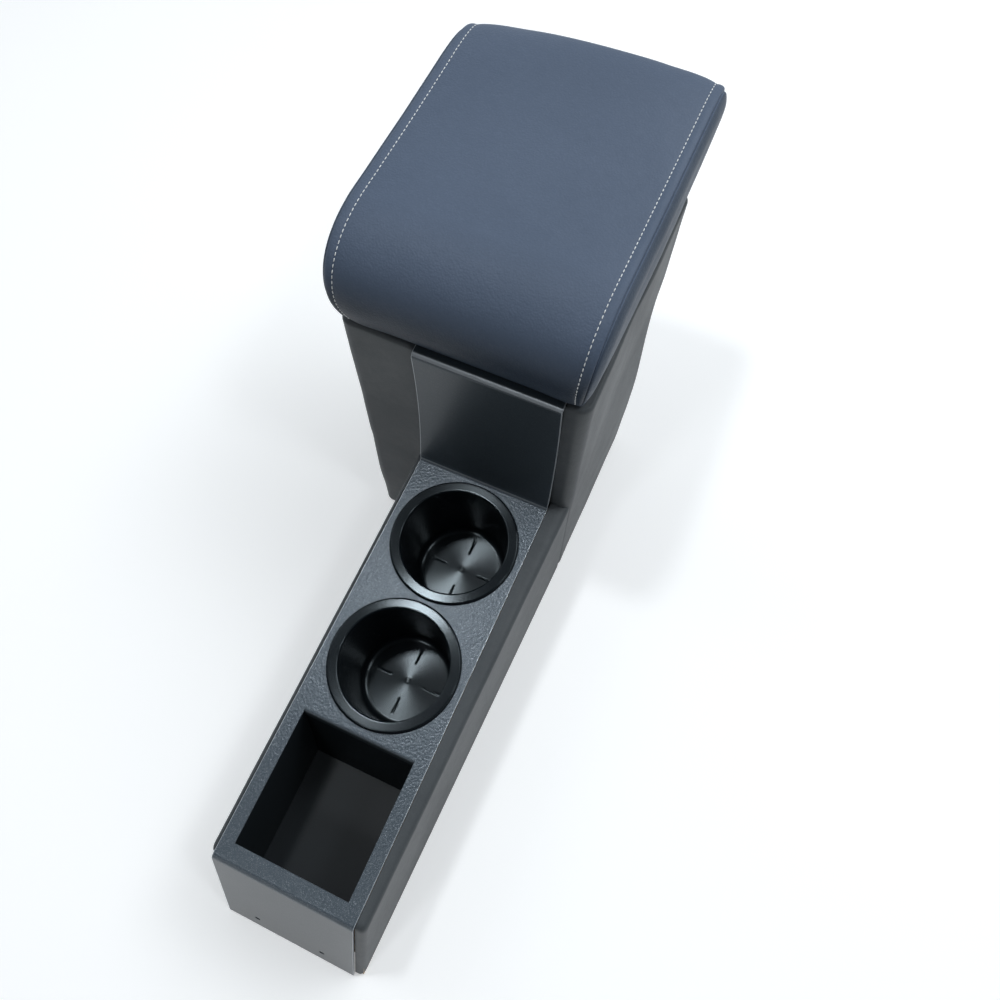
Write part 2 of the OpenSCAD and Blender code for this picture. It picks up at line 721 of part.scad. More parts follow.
module hinge_lid_screws() color("gray") place() {
    translate([0, 0, 2 * lid_z - leaf_t]) mirror([0, 0, 1]) for (x = hinge_screw_x) {
        screw(x, fixed_screw_y, lid_z, lid_board_t);
    }
}

// Outline of the lid at one station, g inside the outer face, its foot moved down by drop
function lid_ring(s, g, drop) =
    let (k = s[2] + g, fy = (lid_half_l - k) / lid_half_l, fz = (lid_h + s[1] - g) / lid_h)
    let (u = s[0] / (lid_w / 2), x = u * (lid_w / 2 - g), lift = s[2] * 0.3)
    let (reach = lid_bow * (1 - u * u) + lid_skew * (1 + u) / 2)
    [for (p = lid_profile)
        let (up = p[1] - lid_z, back = min(max((p[0] - lid_mid_y) / lid_half_l, 0), 1))
        let (y = lid_mid_y + (p[0] - lid_mid_y) * fy + reach * back * back * sin(90 * min(up / lid_h, 1)))
        [x - tuck_in(u, up), y, lid_z + (up > 0 ? up * fz + lift * (1 - up / lid_h) : lift - drop)]];
// How far the lid's side draws in at the share u of its half width, up above its lower edge
function tuck_in(u, up) = sign(u) * lid_tuck * pow(abs(u), 8) * pow(1 - min(up / lid_h, 1), 2);
module lid_form(g, drop = 0) {
    loft([for (s = reversed(lid_section)) lid_ring(s, g, drop)], true);
}
// What lies outside the seam of one side, which follows the draw of the side
module beyond_seam(side, d) {
    u = side * seam_x / (lid_w / 2);
    line = [for (i = [0:8]) [side * (seam_x + d) - tuck_in(u, lid_h * i / 8), lid_z + lid_h * i / 8]];
    translate([0, 5 * lid_w, 0]) rotate([90, 0, 0]) linear_extrude(6 * lid_w) polygon(concat(
        [[line[0][0], lid_z - over]],
        line,
        [[line[8][0], lid_z + 2 * lid_h], [side * lid_w, lid_z + 2 * lid_h], [side * lid_w, lid_z - over]]
    ));
}
module above(z) {
    translate([-lid_w, 0, z]) cube([2 * lid_w, 5 * lid_w, 2 * lid_h]);
}
module lid_skin() difference() {
    intersection() {
        lid_form(0);
        above(lid_z + seat);
    }
    lid_form(lid_cover_t, 2 * over);
}
module lid_top_cover() color([0.36, 0.4, 0.46]) place() difference() {
    lid_skin();
    beyond_seam(1, -seat);
    beyond_seam(-1, -seat);
}
module lid_left_cover() color([0.3, 0.34, 0.39]) place() intersection() {
    lid_skin();
    beyond_seam(-1, -seat * 2 / 3);
}
module lid_right_cover() color([0.3, 0.34, 0.39]) place() intersection() {
    lid_skin();
    beyond_seam(1, -seat * 2 / 3);
}
module lid_foam() color("khaki") place() intersection() {
    lid_form(lid_cover_t + seat, 2 * over);
    above(lid_z + lid_board_t + seat);
}

// Lid board with rounded corners, and the lining below it
board_edge = lid_cover_t + 3;
board_half_w = lid_w / 2 - lid_tuck - board_edge;
module round_board(x, y0, y1, z, t, r) {
    translate([0, 0, z]) linear_extrude(t) {
        translate([-x + r, y0]) square([2 * (x - r), y1 - y0]);
        translate([-x, y0 + r]) square([2 * x, y1 - y0 - 2 * r]);
        for (sx = [-1, 1], y = [y0 + r, y1 - r]) {
            translate([sx * (x - r), y]) circle(r = r);
        }
    }
}
module lid_board() color("burlywood") place() difference() {
    round_board(board_half_w, lid_front + board_edge, lid_rear - board_edge + 2, lid_z, lid_board_t, 8);
    translate([0, 0, 2 * lid_z - leaf_t]) mirror([0, 0, 1]) for (x = hinge_screw_x) {
        countersink(x, fixed_screw_y, lid_z);
    }
}
module lid_lining() color([0.12, 0.12, 0.13]) place() {
    round_board(board_half_w - 4, lid_front + board_edge + 3, pin_y - leaf_w - 1, lid_z - lining_t, lining_t, 6);
}

deck_plate();
front_cup_holder();
rear_cup_holder();
pocket_tray();
right_side_board();
left_side_board();
right_rail();
left_rail();
front_board();
box_front_board();
box_left_board();
box_right_board();
box_rear_board();
box_floor_board();
bin_liner();
right_side_cover();
left_side_cover();
box_left_cover();
box_rear_cover();
plate_screws();
hinge_fixed_leaf();
hinge_pin();
hinge_fixed_screws();
hinge_moving_leaf();
hinge_lid_screws();
lid_board();
lid_foam();
lid_top_cover();
lid_left_cover();
lid_right_cover();
lid_lining();
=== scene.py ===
"""Looks of a car centre armrest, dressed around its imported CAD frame.

Sizes are millimetres of the part's drawing, where y starts at the bend in front of the deck. The pieces
that show are modelled here at full detail. The CAD nodes that stay get a finish of their own.
"""
import logging
import math
from collections.abc import Iterable, Sequence
from dataclasses import dataclass
from enum import Enum

import bmesh
import bpy
import numpy as np
from mathutils import Matrix, Vector, noise


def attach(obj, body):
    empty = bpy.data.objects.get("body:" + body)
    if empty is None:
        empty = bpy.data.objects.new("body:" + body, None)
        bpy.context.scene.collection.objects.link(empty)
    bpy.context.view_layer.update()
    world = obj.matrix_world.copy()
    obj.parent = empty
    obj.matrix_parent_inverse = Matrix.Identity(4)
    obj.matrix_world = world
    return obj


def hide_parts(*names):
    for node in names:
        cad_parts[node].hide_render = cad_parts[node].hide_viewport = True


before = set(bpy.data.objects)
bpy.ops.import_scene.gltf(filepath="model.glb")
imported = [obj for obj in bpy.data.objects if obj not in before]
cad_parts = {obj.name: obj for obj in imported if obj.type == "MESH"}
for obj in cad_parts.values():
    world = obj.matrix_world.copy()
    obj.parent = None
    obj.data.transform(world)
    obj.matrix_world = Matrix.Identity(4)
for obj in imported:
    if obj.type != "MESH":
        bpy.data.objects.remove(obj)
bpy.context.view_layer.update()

LOG = logging.getLogger("armrest")
MM = 0.001
# The frame's origin lies this far behind the bend in front of the deck
BENCH_MID = 269.398
ORIGIN = np.array([0.0, BENCH_MID, 0.0])
DECK_X = 21.0
DECK_H = 108.0
DECK_L = 323.0
SHEET = 1.5
FLANGE_LEAN = math.radians(22.4)
FRONT_CUP_Y = 168.0
REAR_CUP_Y = 270.5
Point = Sequence[float]
Triple = tuple[float, float, float]
Colour = Triple
Limits = tuple[tuple[float, float], tuple[float, float]]


# Lines and curves

def bezier(points: Sequence[Point], count: int) -> np.ndarray:
    """Samples a cubic Bezier curve.

    Args:
        points: its four control points.
        count: the number of steps along it.

    Returns:
        count + 1 points, one a row.
    """
    p = np.asarray(points, float)
    t = np.linspace(0, 1, count + 1)[:, None]
    return p[0] * (1 - t) ** 3 + 3 * p[1] * t * (1 - t) ** 2 + 3 * p[2] * t * t * (1 - t) + p[3] * t ** 3


def corner(a: Point, b: Point, c: Point, radius: float, count: int = 8) -> np.ndarray:
    """Arc that rounds the corner b between a and c, all in a plane.

    Args:
        a: point before the corner.
        b: the corner.
        c: point after the corner.
        radius: radius of the arc.
        count: the number of steps along it.

    Returns:
        count + 1 points of the arc.
    """
    a, b, c = (np.asarray(p, float) for p in (a, b, c))
    u, w = (a - b) / np.linalg.norm(a - b), (c - b) / np.linalg.norm(c - b)
    half = math.acos(float(np.clip(u @ w, -1, 1))) / 2
    middle = b + (u + w) / np.linalg.norm(u + w) * radius / math.sin(half)
    start, end = b + u * radius / math.tan(half) - middle, b + w * radius / math.tan(half) - middle
    first = math.atan2(start[1], start[0])
    sweep = (math.atan2(end[1], end[0]) - first + math.pi) % (2 * math.pi) - math.pi
    angles = first + sweep * np.linspace(0, 1, count + 1)
    return middle + radius * np.stack([np.cos(angles), np.sin(angles)], 1)


def rounding(radius: float, count: int) -> list[tuple[float, float]]:
    """Steps round an edge: how far each stops short of it, and how far in it lies."""
    return [(radius * (1 - math.sin(a)), radius * (1 - math.cos(a)))
            for a in np.linspace(0, math.pi / 2, count + 1)[1:]]


def evenly(path: np.ndarray, count: int) -> np.ndarray:
    """Resamples a path at equal distances.

    Args:
        path: its points, one a row.
        count: the number of points wanted.

    Returns:
        The new points, the two ends included.
    """
    path = path[np.r_[True, np.linalg.norm(np.diff(path, axis=0), axis=1) > 1e-6]]
    run = np.r_[0, np.cumsum(np.linalg.norm(np.diff(path, axis=0), axis=1))]
    at = np.linspace(0, run[-1], count)
    return np.stack([np.interp(at, run, path[:, k]) for k in range(path.shape[1])], 1)


def through(knots: Sequence[float], values: np.ndarray, at: np.ndarray) -> np.ndarray:
    """Smooth curve through values that are given at knots.

    Args:
        knots: places of the values, rising.
        values: one row of values a knot.
        at: places to work the curve out at.

    Returns:
        One row a place.
    """
    t, v = np.asarray(knots, float), np.asarray(values, float)
    slope = np.gradient(v, t, axis=0)
    k = np.clip(np.searchsorted(t, at, side="right") - 1, 0, len(t) - 2)
    h = (t[k + 1] - t[k])[:, None]
    s = ((at - t[k]) / h[:, 0])[:, None]
    return ((1 + 2 * s) * (1 - s) ** 2 * v[k] + s * (1 - s) ** 2 * h * slope[k]
            + s * s * (3 - 2 * s) * v[k + 1] + s * s * (s - 1) * h * slope[k + 1])


def bell(distance: np.ndarray, width: float) -> np.ndarray:
    """Soft bump of height 1 that dies away past the width."""
    return np.exp(-(distance / width) ** 2)


def ease(low: float, high: float, value: np.ndarray) -> np.ndarray:
    """Rises smoothly from 0 at low to 1 at high."""
    t = np.clip((value - low) / (high - low), 0, 1)
    return t * t * (3 - 2 * t)


def waves(points: np.ndarray, size: float, seed: float) -> np.ndarray:
    """Soft noise between -1 and 1 at points in millimetres, with hollows of the given size."""
    return np.array([noise.noise(Vector(p) / size + Vector((seed, -seed, 2 * seed))) for p in points])


# Meshes

def add_mesh(name: str, points: np.ndarray, faces: Iterable[Sequence[int]],
             edges: Iterable[Sequence[int]] = ()) -> bpy.types.Object:
    """Makes a mesh object from points in millimetres of the drawing, with its faces turned outwards.

    Args:
        name: the piece's name.
        points: its points, one a row.
        faces: indices of the points of each face.
        edges: indices of the ends of each edge that has no face.

    Returns:
        The object, at the frame's origin.
    """
    mesh = bpy.data.meshes.new(name)
    mesh.from_pydata(((np.asarray(points, float) - ORIGIN) * MM).tolist(), list(edges), list(faces))
    form = bmesh.new()
    form.from_mesh(mesh)
    bmesh.ops.remove_doubles(form, verts=form.verts, dist=1e-6)
    bmesh.ops.recalc_face_normals(form, faces=form.faces)
    form.to_mesh(mesh)
    form.free()
    piece = bpy.data.objects.new(name, mesh)
    bpy.context.scene.collection.objects.link(piece)
    return piece


def bands(rows: int, columns: int, round_columns: bool = False, round_rows: bool = False) -> list[list[int]]:
    """Quads between the rows of a grid of points, closed in either direction if asked."""
    return [[r * columns + c, r * columns + (c + 1) % columns,
             (r + 1) % rows * columns + (c + 1) % columns, (r + 1) % rows * columns + c]
            for r in range(rows - (not round_rows)) for c in range(columns - (not round_columns))]


def settle(piece: bpy.types.Object) -> bpy.types.Object:
    """Turns a piece with live modifiers into a plain mesh."""
    graph = bpy.context.evaluated_depsgraph_get()
    mesh = bpy.data.meshes.new_from_object(piece.evaluated_get(graph))
    piece.modifiers.clear()
    piece.data = mesh
    return piece


def modify(piece: bpy.types.Object, kind: str, **settings: object) -> bpy.types.Object:
    """Adds a modifier with the given settings and applies it."""
    modifier = piece.modifiers.new(kind.lower(), kind)
    for key, value in settings.items():
        setattr(modifier, key, value)
    return settle(piece)


def smooth(piece: bpy.types.Object, degrees: float = 35) -> bpy.types.Object:
    """Shades a piece smooth, but for edges sharper than the angle."""
    piece.data.shade_smooth()
    piece.data.set_sharp_from_angle(angle=math.radians(degrees))
    return piece


def cut(piece: bpy.types.Object, tool: bpy.types.Object, operation: str = "DIFFERENCE") -> None:
    """Cuts a piece with a tool, or joins them, and removes the tool."""
    modify(piece, "BOOLEAN", object=tool, operation=operation, solver="EXACT")
    bpy.data.objects.remove(tool)


def prism(name: str, outline: np.ndarray, x0: float, x1: float) -> bpy.types.Object:
    """Solid between x0 and x1 whose side view is a closed outline of (y, z)."""
    rows = [np.c_[np.full(len(outline), x), outline] for x in (x0, x1)]
    return tube(name, rows)


def tube(name: str, rings: Sequence[np.ndarray]) -> bpy.types.Object:
    """Solid through rings of points, all with the same number, closed flat over the first and the last."""
    count = len(rings[0])
    ends = [list(range(count)), list(range(len(rings) * count - 1, (len(rings) - 1) * count - 1, -1))]
    return add_mesh(name, np.concatenate(rings), bands(len(rings), count, True) + ends)


def rod(centre: Point, radius: float, length: float, tilt: float = 0, count: int = 160) -> bpy.types.Object:
    """Round cutter through a centre, upright or tilted towards the front by an angle in radians."""
    angles = np.linspace(0, 2 * math.pi, count, endpoint=False)
    ring = np.stack([radius * np.cos(angles), radius * np.sin(angles), np.zeros(count)], 1)
    turned = np.array(Matrix.Rotation(tilt, 3, "X"))
    return tube("cutter", [(ring + [0, 0, z]) @ turned.T + centre for z in (-length / 2, length / 2)])


def rows_of(items: bpy.types.bpy_prop_collection, name: str) -> np.ndarray:
    """Three numbers of each of a mesh's items, one row an item."""
    found = np.zeros(3 * len(items), np.float32)
    items.foreach_get(name, found)
    return found.reshape(-1, 3)


def normals_of(piece: bpy.types.Object) -> np.ndarray:
    """Outward directions at a mesh's points, one a row."""
    return rows_of(piece.data.vertex_normals, "vector")


def places_of(piece: bpy.types.Object) -> np.ndarray:
    """A mesh's points in millimetres of the drawing, one a row."""
    return rows_of(piece.data.vertices, "co") / MM + ORIGIN


def move(piece: bpy.types.Object, places: np.ndarray) -> None:
    """Moves a mesh's points to places in millimetres of the drawing."""
    piece.data.vertices.foreach_set("co", ((places - ORIGIN) * MM).astype(np.float32).ravel())
    piece.data.update()


def swell(piece: bpy.types.Object, distance: np.ndarray) -> None:
    """Moves a mesh's points along their normals by distances in millimetres, one a point."""
    move(piece, places_of(piece) + normals_of(piece) * distance[:, None])


# Shaders

class Field:
    """A number that varies over a surface: a node's socket that can be used in sums."""

    def __init__(self, kit: "TreeKit", socket: bpy.types.NodeSocket) -> None:
        self.kit = kit
        self.socket = socket

    def _sum(self, operation: str, first: "Field | float", second: "Field | float") -> "Field":
        """One Math node on two numbers."""
        return Field(self.kit, self.kit.made("ShaderNodeMath", {0: first, 1: second}, operation=operation))

    def __add__(self, other: "Field | float") -> "Field":
        """Self plus other."""
        return self._sum("ADD", self, other)

    def __rsub__(self, other: float) -> "Field":
        """Other minus self."""
        return self._sum("SUBTRACT", other, self)

    def __mul__(self, other: "Field | float") -> "Field":
        """Self times other."""
        return self._sum("MULTIPLY", self, other)

    def ramp(self, low: float, high: float, out_low: float = 0.0, out_high: float = 1.0) -> "Field":
        """Eases from out_low where the number is low to out_high where it is high."""
        return Field(self.kit, self.kit.made("ShaderNodeMapRange", {
            "Value": self, "From Min": low, "From Max": high, "To Min": out_low, "To Max": out_high,
        }, interpolation_type="SMOOTHSTEP"))

    def between(self, low: Point, high: Point) -> "Field":
        """1 between two limits and 0 outside them, each limit a pair of numbers that it eases over."""
        return self.ramp(*low) * self.ramp(*high, 1.0, 0.0)


class TreeKit:
    """A node tree and the means to add nodes to it."""

    def __init__(self, tree: bpy.types.NodeTree) -> None:
        """Empties the tree and keeps it."""
        self.tree = tree
        self.tree.nodes.clear()

    def node(self, kind: str, inputs: dict[str | int, object] | None = None,
             **settings: object) -> bpy.types.Node:
        """Adds a node.

        Args:
            kind: the node's type.
            inputs: values or links of its sockets.
            settings: its own settings, set first.

        Returns:
            The node.
        """
        node = self.tree.nodes.new(kind)
        for key, value in settings.items():
            setattr(node, key, value)
        for key, value in (inputs or {}).items():
            self.feed(node.inputs[key], value)
        return node

    def made(self, kind: str, inputs: dict[str | int, object], **settings: object) -> bpy.types.NodeSocket:
        """Adds a node and gives its first output."""
        return self.node(kind, inputs, **settings).outputs[0]

    def feed(self, socket: bpy.types.NodeSocket, value: object) -> None:
        """Links a field or socket to an input, or sets the input's value."""
        if isinstance(value, Field):
            value = value.socket
        if isinstance(value, bpy.types.NodeSocket):
            self.tree.links.new(value, socket)
        else:
            socket.default_value = value


class PatternKit(TreeKit):
    """A shader tree whose patterns follow a kind of coordinates."""

    def __init__(self, tree: bpy.types.NodeTree, coordinates: str) -> None:
        """Starts the tree with its coordinates."""
        super().__init__(tree)
        self.place = self.node("ShaderNodeTexCoord").outputs[coordinates]

    def axis(self, letter: str) -> Field:
        """One coordinate, in metres on a piece."""
        return Field(self, self.node("ShaderNodeSeparateXYZ", {0: self.place}).outputs[letter])


class ShaderKit(PatternKit):
    """One material with a Principled shader."""

    def __init__(self, name: str) -> None:
        """Starts the material."""
        self.material = bpy.data.materials.new(name)
        self.material.use_nodes = True
        super().__init__(self.material.node_tree, "Object")
        self.shader = self.node("ShaderNodeBsdfPrincipled")
        self.node("ShaderNodeOutputMaterial", {"Surface": self.shader.outputs[0]})

    def noise(self, scale: float, detail: float = 2.0, roughness: float = 0.5,
              stretch: Point = (1, 1, 1)) -> Field:
        """Cloudy noise with so many features a metre, around 0.5."""
        place = self.made("ShaderNodeMapping", {"Vector": self.place, "Scale": stretch})
        node = self.node("ShaderNodeTexNoise", {
            "Vector": place, "Scale": scale, "Detail": detail, "Roughness": roughness})
        return Field(self, node.outputs["Fac"])

    def cells(self, scale: float) -> Field:
        """Distance pattern of cells, with so many cells a metre."""
        node = self.node("ShaderNodeTexVoronoi", {
            "Vector": self.place, "Scale": scale, "Randomness": 1.0}, feature="SMOOTH_F1")
        return Field(self, node.outputs["Distance"])

    def held(self, name: str) -> Field:
        """The mesh's own attribute of that name."""
        return Field(self, self.node("ShaderNodeAttribute", attribute_name=name).outputs["Fac"])

    def blend(self, mask: Field, first: object, second: object) -> bpy.types.NodeSocket:
        """Mixes two colours: the first where the mask is 0, the second where it is 1."""
        colours = [(*c, 1.0) if isinstance(c, tuple) else c for c in (first, second)]
        return self.node("ShaderNodeMix", {0: mask, 6: colours[0], 7: colours[1]}, data_type="RGBA").outputs[2]

    def relief(self, height: Field, depth_mm: float) -> bpy.types.NodeSocket:
        """Bump of the given depth for heights from 0 to 1."""
        return self.made("ShaderNodeBump", {"Height": height, "Distance": depth_mm * MM, "Strength": 1.0})

    def finish(self, **values: object) -> bpy.types.Material:
        """Sets the shader's sockets, named with _ for a space, and gives the material."""
        for key, value in values.items():
            if isinstance(value, tuple):
                value = (*value, 1.0)
            self.feed(self.shader.inputs[key.replace("_", " ")], value)
        return self.material


@dataclass(frozen=True)
class Leatherette:
    """Grained soft plastic hide.

    Attributes:
        name: the material's name.
        colour: its main colour.
        rubbed: its colour where hands have rubbed it, slightly lighter.
        grain: pebbles a metre.
        grain_mm: depth of the grain.
        gloss: roughness of its surface.
        shine: how strongly it mirrors.
        front: a darker colour painted where it turns down over the lid's front, as painted shade, if other.
        front_z: heights in metres between which that colour fades out.
        front_y: places in metres between which it fades out.
    """
    name: str
    colour: Colour
    rubbed: Colour
    grain: float = 620.0
    grain_mm: float = 0.12
    gloss: float = 0.5
    shine: float = 0.42
    front: Colour | None = None
    front_z: tuple[float, float] = (0.262, 0.303)
    front_y: tuple[float, float] = (0.10, 0.135)

    def material(self) -> bpy.types.Material:
        """Builds the hide's material."""
        kit = ShaderKit(self.name)
        pebbles = kit.cells(self.grain)
        creases = kit.noise(self.grain * 0.35, 3.0, 0.6)
        cloud = kit.noise(9.0, 3.0, 0.55)
        mottle = kit.noise(140.0, 2.0, 0.6)
        height = pebbles * 0.75 + creases * 0.6
        tone = (cloud * 0.75 + mottle * 0.25).ramp(0.35, 0.65)
        colour = kit.blend(tone, self.colour, self.rubbed)
        # Painted shade: the valleys between the grain's pebbles are painted darker
        valley = pebbles.ramp(0.05, 0.45)
        valley_shade = tuple(0.72 * c for c in self.colour)
        colour = kit.blend(valley * 0.25, colour, valley_shade)
        # Painted shade: the lid's front, which turns away from the lamps, is painted darker
        if self.front:
            down = kit.axis("Z").ramp(*self.front_z, 1.0, 0.0) * kit.axis("Y").ramp(*self.front_y, 1.0, 0.0)
            colour = kit.blend(down, colour, self.front)
        return kit.finish(
            Base_Color=colour,
            Roughness=tone * -0.06 + (self.gloss + 0.03) + creases * 0.08,
            Normal=kit.relief(1.0 - height, self.grain_mm),
            Specular_IOR_Level=self.shine,
        )


@dataclass(frozen=True)
class HammeredCoat:
    """Dark powder coat with a fine hammered skin; painted light on the deck and painted highlights on edges and
    bends.

    Each zone has its two limits in metres: of height, or across for what lies between the plate's edges.
    """
    name: str = "hammered_coat"
    colour: Colour = (0.036, 0.047, 0.057)
    # Painted light: the deck's lighter colour stands for the light it catches from the lamps
    deck: Colour = (0.064, 0.082, 0.100)
    flake: Colour = (0.24, 0.27, 0.30)
    # Painted highlight: the light coat along the plate's edges, the fold, the crest and the front bend
    painted_highlight: Colour = (0.42, 0.45, 0.48)
    deck_z: Limits = ((0.1045, 0.1065), (0.1095, 0.116))
    fold_z: Limits = ((0.1085, 0.1095), (0.1105, 0.1115))
    crest_z: Limits = ((0.2340, 0.2352), (0.2362, 0.2369))
    bend_z: Limits = ((0.1030, 0.1060), (0.1072, 0.1079))
    inner_x: Limits = ((DECK_X * MM - 0.0548, DECK_X * MM - 0.0543),
                       (DECK_X * MM + 0.0543, DECK_X * MM + 0.0548))

    def material(self) -> bpy.types.Material:
        """Builds the coat's material."""
        kit = ShaderKit(self.name)
        dimples = kit.cells(560.0)
        fine = kit.noise(1500.0, 2.0, 0.6)
        coarse = kit.noise(680.0, 2.0, 0.55)
        flakes = kit.noise(2300.0, 1.0, 0.5).ramp(0.58, 0.72)
        cloud = kit.noise(14.0, 2.0, 0.5)
        # The upstand and the flange were coated thinner, so their skin is smoother than the deck's
        height = kit.axis("Z")
        flat = height.between(*self.deck_z)
        skin = (dimples * 0.6 + coarse * 0.4 + fine * 0.16) * (flat * 0.82 + 0.18)
        sides = 1.0 - kit.axis("X").between(*self.inner_x)
        # Painted highlights: the coat is painted lighter along the plate's side edges, the fold, the crest and
        # the front bend
        fold, crest, bend = (height.between(*z) for z in (self.fold_z, self.crest_z, self.bend_z))
        highlight_mask = (sides + fold * 0.8 + crest + bend * 0.3).ramp(0.0, 1.0)
        # Painted light: the deck, which faces the lamps, is painted lighter than the upstand and the flange,
        # and its flakes show more
        colour = kit.blend(flat, self.colour, self.deck)
        colour = kit.blend(flakes * (flat * 0.75 + 0.25), colour, self.flake)
        return kit.finish(
            Base_Color=kit.blend(highlight_mask * 0.8, colour, self.painted_highlight),
            Metallic=flakes * 0.3 + 0.25,
            Roughness=cloud * 0.05 + 0.27 + fine * 0.06,
            Specular_IOR_Level=0.45,
            Normal=kit.relief(skin, 0.30),
        )


@dataclass(frozen=True)
class TurnedGloss:
    """Glossy black moulding with fine turning marks."""
    name: str = "turned_gloss"
    colour: Colour = (0.0045, 0.0062, 0.0082)
    scuffed: Colour = (0.016, 0.018, 0.020)

    def material(self) -> bpy.types.Material:
        """Builds the moulding's material, which reads the mesh's height above the cup's floor."""
        kit = ShaderKit(self.name)
        level = kit.held("above_floor")
        floor = 1.0 - level.ramp(0.4, 1.6)
        scuffs = kit.noise(700.0, 3.0, 0.65, (1, 1, 0.15)).ramp(0.6, 0.8) * (1.0 - floor)
        # The turning marks run round the cup, so lamps are drawn out along its spokes
        return kit.finish(
            Base_Color=kit.blend(scuffs * 0.5, self.colour, self.scuffed),
            Roughness=floor * 0.05 + 0.17 + scuffs * 0.05,
            Anisotropic=0.9,
            Anisotropic_Rotation=0.25,
            Specular_IOR_Level=0.36,
            Specular_Tint=(0.82, 0.94, 1.0),
        )


@dataclass(frozen=True)
class Grained:
    """Matt material with a fine even relief, such as a moulded liner, felt or foam."""
    name: str
    colour: Colour
    speck: Colour
    grain: float
    depth_mm: float
    gloss: float
    stretch: Triple = (1, 1, 1)
    metal: float = 0.0

    def material(self) -> bpy.types.Material:
        """Builds the material."""
        kit = ShaderKit(self.name)
        grain = kit.noise(self.grain, 4.0, 0.65, self.stretch)
        cloud = kit.noise(16.0, 2.0, 0.5)
        tone = (grain * 0.7 + cloud * 0.3).ramp(0.38, 0.66)
        return kit.finish(
            Base_Color=kit.blend(tone, self.colour, self.speck),
            Metallic=self.metal,
            Roughness=cloud * 0.08 + self.gloss,
            Normal=kit.relief(grain, self.depth_mm),
        )


class Finish(Enum):
    """The finishes that pieces are dressed in, by the record's material slot."""
    deck_paint = HammeredCoat()
    gloss_black = TurnedGloss()
    matt_black = Grained(
        "matt_black", (0.004, 0.0068, 0.0095), (0.006, 0.0105, 0.0145), 1400.0, 0.05, 0.5)
    plywood = Grained("plywood", (0.50, 0.34, 0.19), (0.63, 0.46, 0.28), 260.0, 0.08, 0.62, (1, 0.08, 6))
    felt = Grained("felt", (0.020, 0.021, 0.023), (0.045, 0.046, 0.05), 2600.0, 0.35, 0.92)
    body_leatherette = Leatherette(
        "body_leatherette", (0.050, 0.057, 0.063), (0.064, 0.072, 0.078), 900.0, 0.08, 0.50, 0.36)
    # The lid's hide carries a much darker colour over its front, as painted shade
    lid_leatherette = Leatherette(
        "lid_leatherette", (0.086, 0.114, 0.167), (0.097, 0.127, 0.184), 760.0, 0.28, 0.47, 0.2,
        (0.016, 0.026, 0.042))
    # Painted shade: the lid's sides get a darker copy of the top's hide
    lid_side_leatherette = Leatherette(
        "lid_side_leatherette", (0.044, 0.062, 0.092), (0.052, 0.072, 0.105), 760.0, 0.26, 0.5, 0.3)
    foam = Grained("foam", (0.62, 0.55, 0.33), (0.72, 0.66, 0.44), 1900.0, 0.4, 0.9)
    zinc = Grained("zinc", (0.55, 0.56, 0.58), (0.68, 0.69, 0.71), 500.0, 0.02, 0.28, (1, 6, 1), 1.0)
    thread = Grained("thread", (0.72, 0.73, 0.72), (0.86, 0.87, 0.86), 3200.0, 0.2, 0.7, (1, 0.4, 1))


class Wardrobe:
    """Builds each finish once, dresses pieces in it and hands them over."""

    def __init__(self) -> None:
        """Starts with no materials."""
        self._made: dict[Finish, bpy.types.Material] = {}

    def get(self, finish: Finish) -> bpy.types.Material:
        """The material of a finish."""
        if finish not in self._made:
            self._made[finish] = finish.value.material()
        return self._made[finish]

    def repaint(self, node: bpy.types.Object, finish: Finish) -> None:
        """Gives a CAD node's own material slots a finish."""
        for slot in node.material_slots:
            slot.material = self.get(finish)

    def hand_over(self, piece: bpy.types.Object, body: str, finishes: Sequence[Finish] = (),
                  replaced: Sequence[str] = ()) -> None:
        """Dresses a finished piece and puts it on its body.

        Args:
            piece: the piece, in place.
            body: the CAD body that it moves with.
            finishes: its finishes, numbered as its faces number them.
            replaced: the CAD nodes that it stands for.
        """
        for finish in finishes:
            piece.data.materials.append(self.get(finish))
        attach(piece, body)
        if replaced:
            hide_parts(*replaced)
        LOG.info("%s: %d faces on %s", piece.name, len(piece.data.polygons), body)


# The box's planes, shared by the pieces that meet them

@dataclass(frozen=True)
class BoxPlanes:
    """Leaning faces of the storage box, as functions of the height above the floor."""
    front_foot: float = 313.167
    front_lean: float = 8.6
    rear_foot: float = 458.167
    rear_lean: float = 19.7
    foot_w: float = 172.0
    top_w: float = 186.0
    foot_x: float = 5.0
    top_x: float = 0.0
    height: float = 234.0
    cover: float = 3.0
    wall: float = 12.3
    corner_r: float = 9.0

    def front(self, z: float) -> float:
        """Place of the front face at height z."""
        return self.front_foot + z * math.tan(math.radians(self.front_lean))

    def rear(self, z: float) -> float:
        """Place of the rear face at height z."""
        return self.rear_foot + z * math.tan(math.radians(self.rear_lean))

    def sides(self, z: float) -> tuple[float, float]:
        """Places of the left and the right face at height z."""
        middle = self.foot_x + (self.top_x - self.foot_x) * z / self.height
        half = (self.foot_w + (self.top_w - self.foot_w) * z / self.height) / 2
        return middle - half, middle + half


BOX = BoxPlanes()


